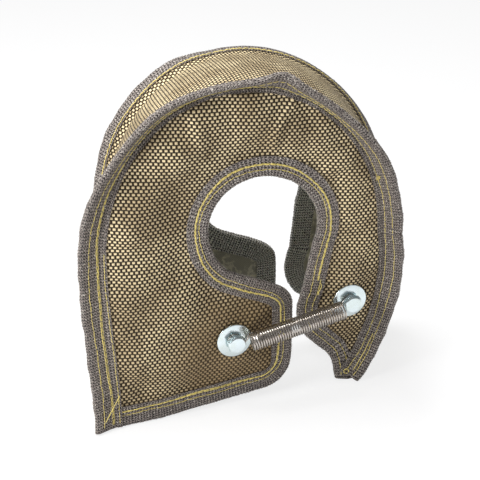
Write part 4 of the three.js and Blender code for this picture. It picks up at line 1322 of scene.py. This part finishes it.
class BLANKET_OT_studio(PieceOperator, bpy.types.Operator):
    """Set up the floor, the lamps, the world and the camera."""

    bl_idname = "blanket.studio"
    bl_label = "Studio"

    def execute(self, context):
        scene = context.scene
        studio = scene.blanket_studio
        floor = Finish("studio_floor", roughness=0.9, specular=0.1)
        floor.set(Base_Color=(0.96, 0.96, 0.97))
        glow = floor.node("ShaderNodeEmission", Color=(1, 1, 1), Strength=1.06)
        seen, = floor.values(floor.node("ShaderNodeLightPath"), "Is Camera Ray")
        lit = floor.node("ShaderNodeMixShader", _0=seen * studio.floor_glow, _1=floor.shader, _2=glow)
        feed(floor.tree, floor.tree.nodes["Material Output"].inputs[0], lit)
        size, sink = 6.0, -0.0002
        corners = np.array([(x * size, y * size, sink) for x, y in ((-1, -1), (1, -1), (1, 1), (-1, 1))])
        ground = new_object("studio_floor", corners, [[0, 1, 2, 3]])
        ground.data.materials.append(floor.material)

        scene.world = bpy.data.worlds.new("studio")
        scene.world.use_nodes = True
        tree = scene.world.node_tree
        around = tree.nodes["Background"]
        feed(tree, around.inputs["Color"], (1, 1, 1))
        feed(tree, around.inputs["Strength"], studio.ambient)
        path = add_node(tree, "ShaderNodeLightPath").outputs
        level = add_node(tree, "ShaderNodeMapRange", Value=path["Is Camera Ray"], To_Min=studio.glossy_sky)
        mirrored = add_node(tree, "ShaderNodeBackground", Strength=level)
        either = Value(tree, path["Is Camera Ray"]).max(path["Is Glossy Ray"])
        switch = add_node(tree, "ShaderNodeMixShader", _0=either, _1=around, _2=mirrored)
        feed(tree, tree.nodes["World Output"].inputs[0], switch)

        for name, power, spot, width, height in (
            ("overhead_lamp", studio.overhead, (-0.2, 0.1, 1.0), 0.5, 0.35),
            ("side_lamp", studio.side, (-0.95, -0.55, 0.6), 0.45, 0.45),
        ):
            lamp = bpy.data.lights.new(name, "AREA")
            lamp.shape = "RECTANGLE"
            lamp.size, lamp.size_y = width, height
            lamp.energy = power
            holder = bpy.data.objects.new(name, lamp)
            holder.location = spot
            holder.rotation_euler = (Vector((0, 0, 0.1)) - Vector(spot)).to_track_quat("-Z", "Y").to_euler()
            put(holder)
        lens = bpy.data.cameras.new("camera")
        lens.lens, lens.sensor_width = CAMERA_LENS, 36
        camera = bpy.data.objects.new("camera", lens)
        x, y, z = CAMERA_SPOT
        camera.location = ((x - ORIGIN_X) * MM, (y - ORIGIN_Y) * MM, z * MM)
        azimuth, elevation = map(math.radians, CAMERA_TURN)
        level = math.cos(elevation)
        away = Vector((math.sin(azimuth) * level, -math.cos(azimuth) * level, math.sin(elevation)))
        camera.rotation_euler = (-away).to_track_quat("-Z", "Y").to_euler()
        put(camera)
        scene.camera = camera
        scene.view_settings.view_transform = "Standard"
        return {"FINISHED"}


class BLANKET_PT_pieces(bpy.types.Panel):
    """The blanket's pieces and their settings."""

    bl_label = "Heat blanket"
    bl_space_type = "VIEW_3D"
    bl_region_type = "UI"
    bl_category = "Heat blanket"

    def draw(self, context):
        for group in ("blanket_cloth", "blanket_tape", "blanket_hardware", "blanket_studio"):
            settings = getattr(context.scene, group)
            box = self.layout.box()
            for name in settings.bl_rna.properties.keys():
                if name not in ("rna_type", "name"):
                    box.prop(settings, name)
        for made in PIECES:
            self.layout.operator(made.bl_idname)


SETTINGS = {
    "blanket_cloth": ClothSettings,
    "blanket_tape": TapeSettings,
    "blanket_hardware": HardwareSettings,
    "blanket_studio": StudioSettings,
}
PIECES = (
    BLANKET_OT_outer_cloth,
    BLANKET_OT_lining,
    BLANKET_OT_tapes,
    BLANKET_OT_stitches,
    BLANKET_OT_anchors,
    BLANKET_OT_spring,
    BLANKET_OT_studio,
)


def register():
    for made in (*SETTINGS.values(), *PIECES, BLANKET_PT_pieces):
        bpy.utils.register_class(made)
    for name, group in SETTINGS.items():
        setattr(bpy.types.Scene, name, bpy.props.PointerProperty(type=group))


def unregister():
    for name in SETTINGS:
        delattr(bpy.types.Scene, name)
    for made in (BLANKET_PT_pieces, *reversed(PIECES), *SETTINGS.values()):
        bpy.utils.unregister_class(made)


def main():
    register()
    bpy.ops.blanket.lining()
    bpy.ops.blanket.outer_cloth()
    bpy.ops.blanket.tapes()
    bpy.ops.blanket.stitches()
    bpy.ops.blanket.anchors()
    bpy.ops.blanket.spring()
    bpy.ops.blanket.studio()


if __name__ == "__main__":
    main()
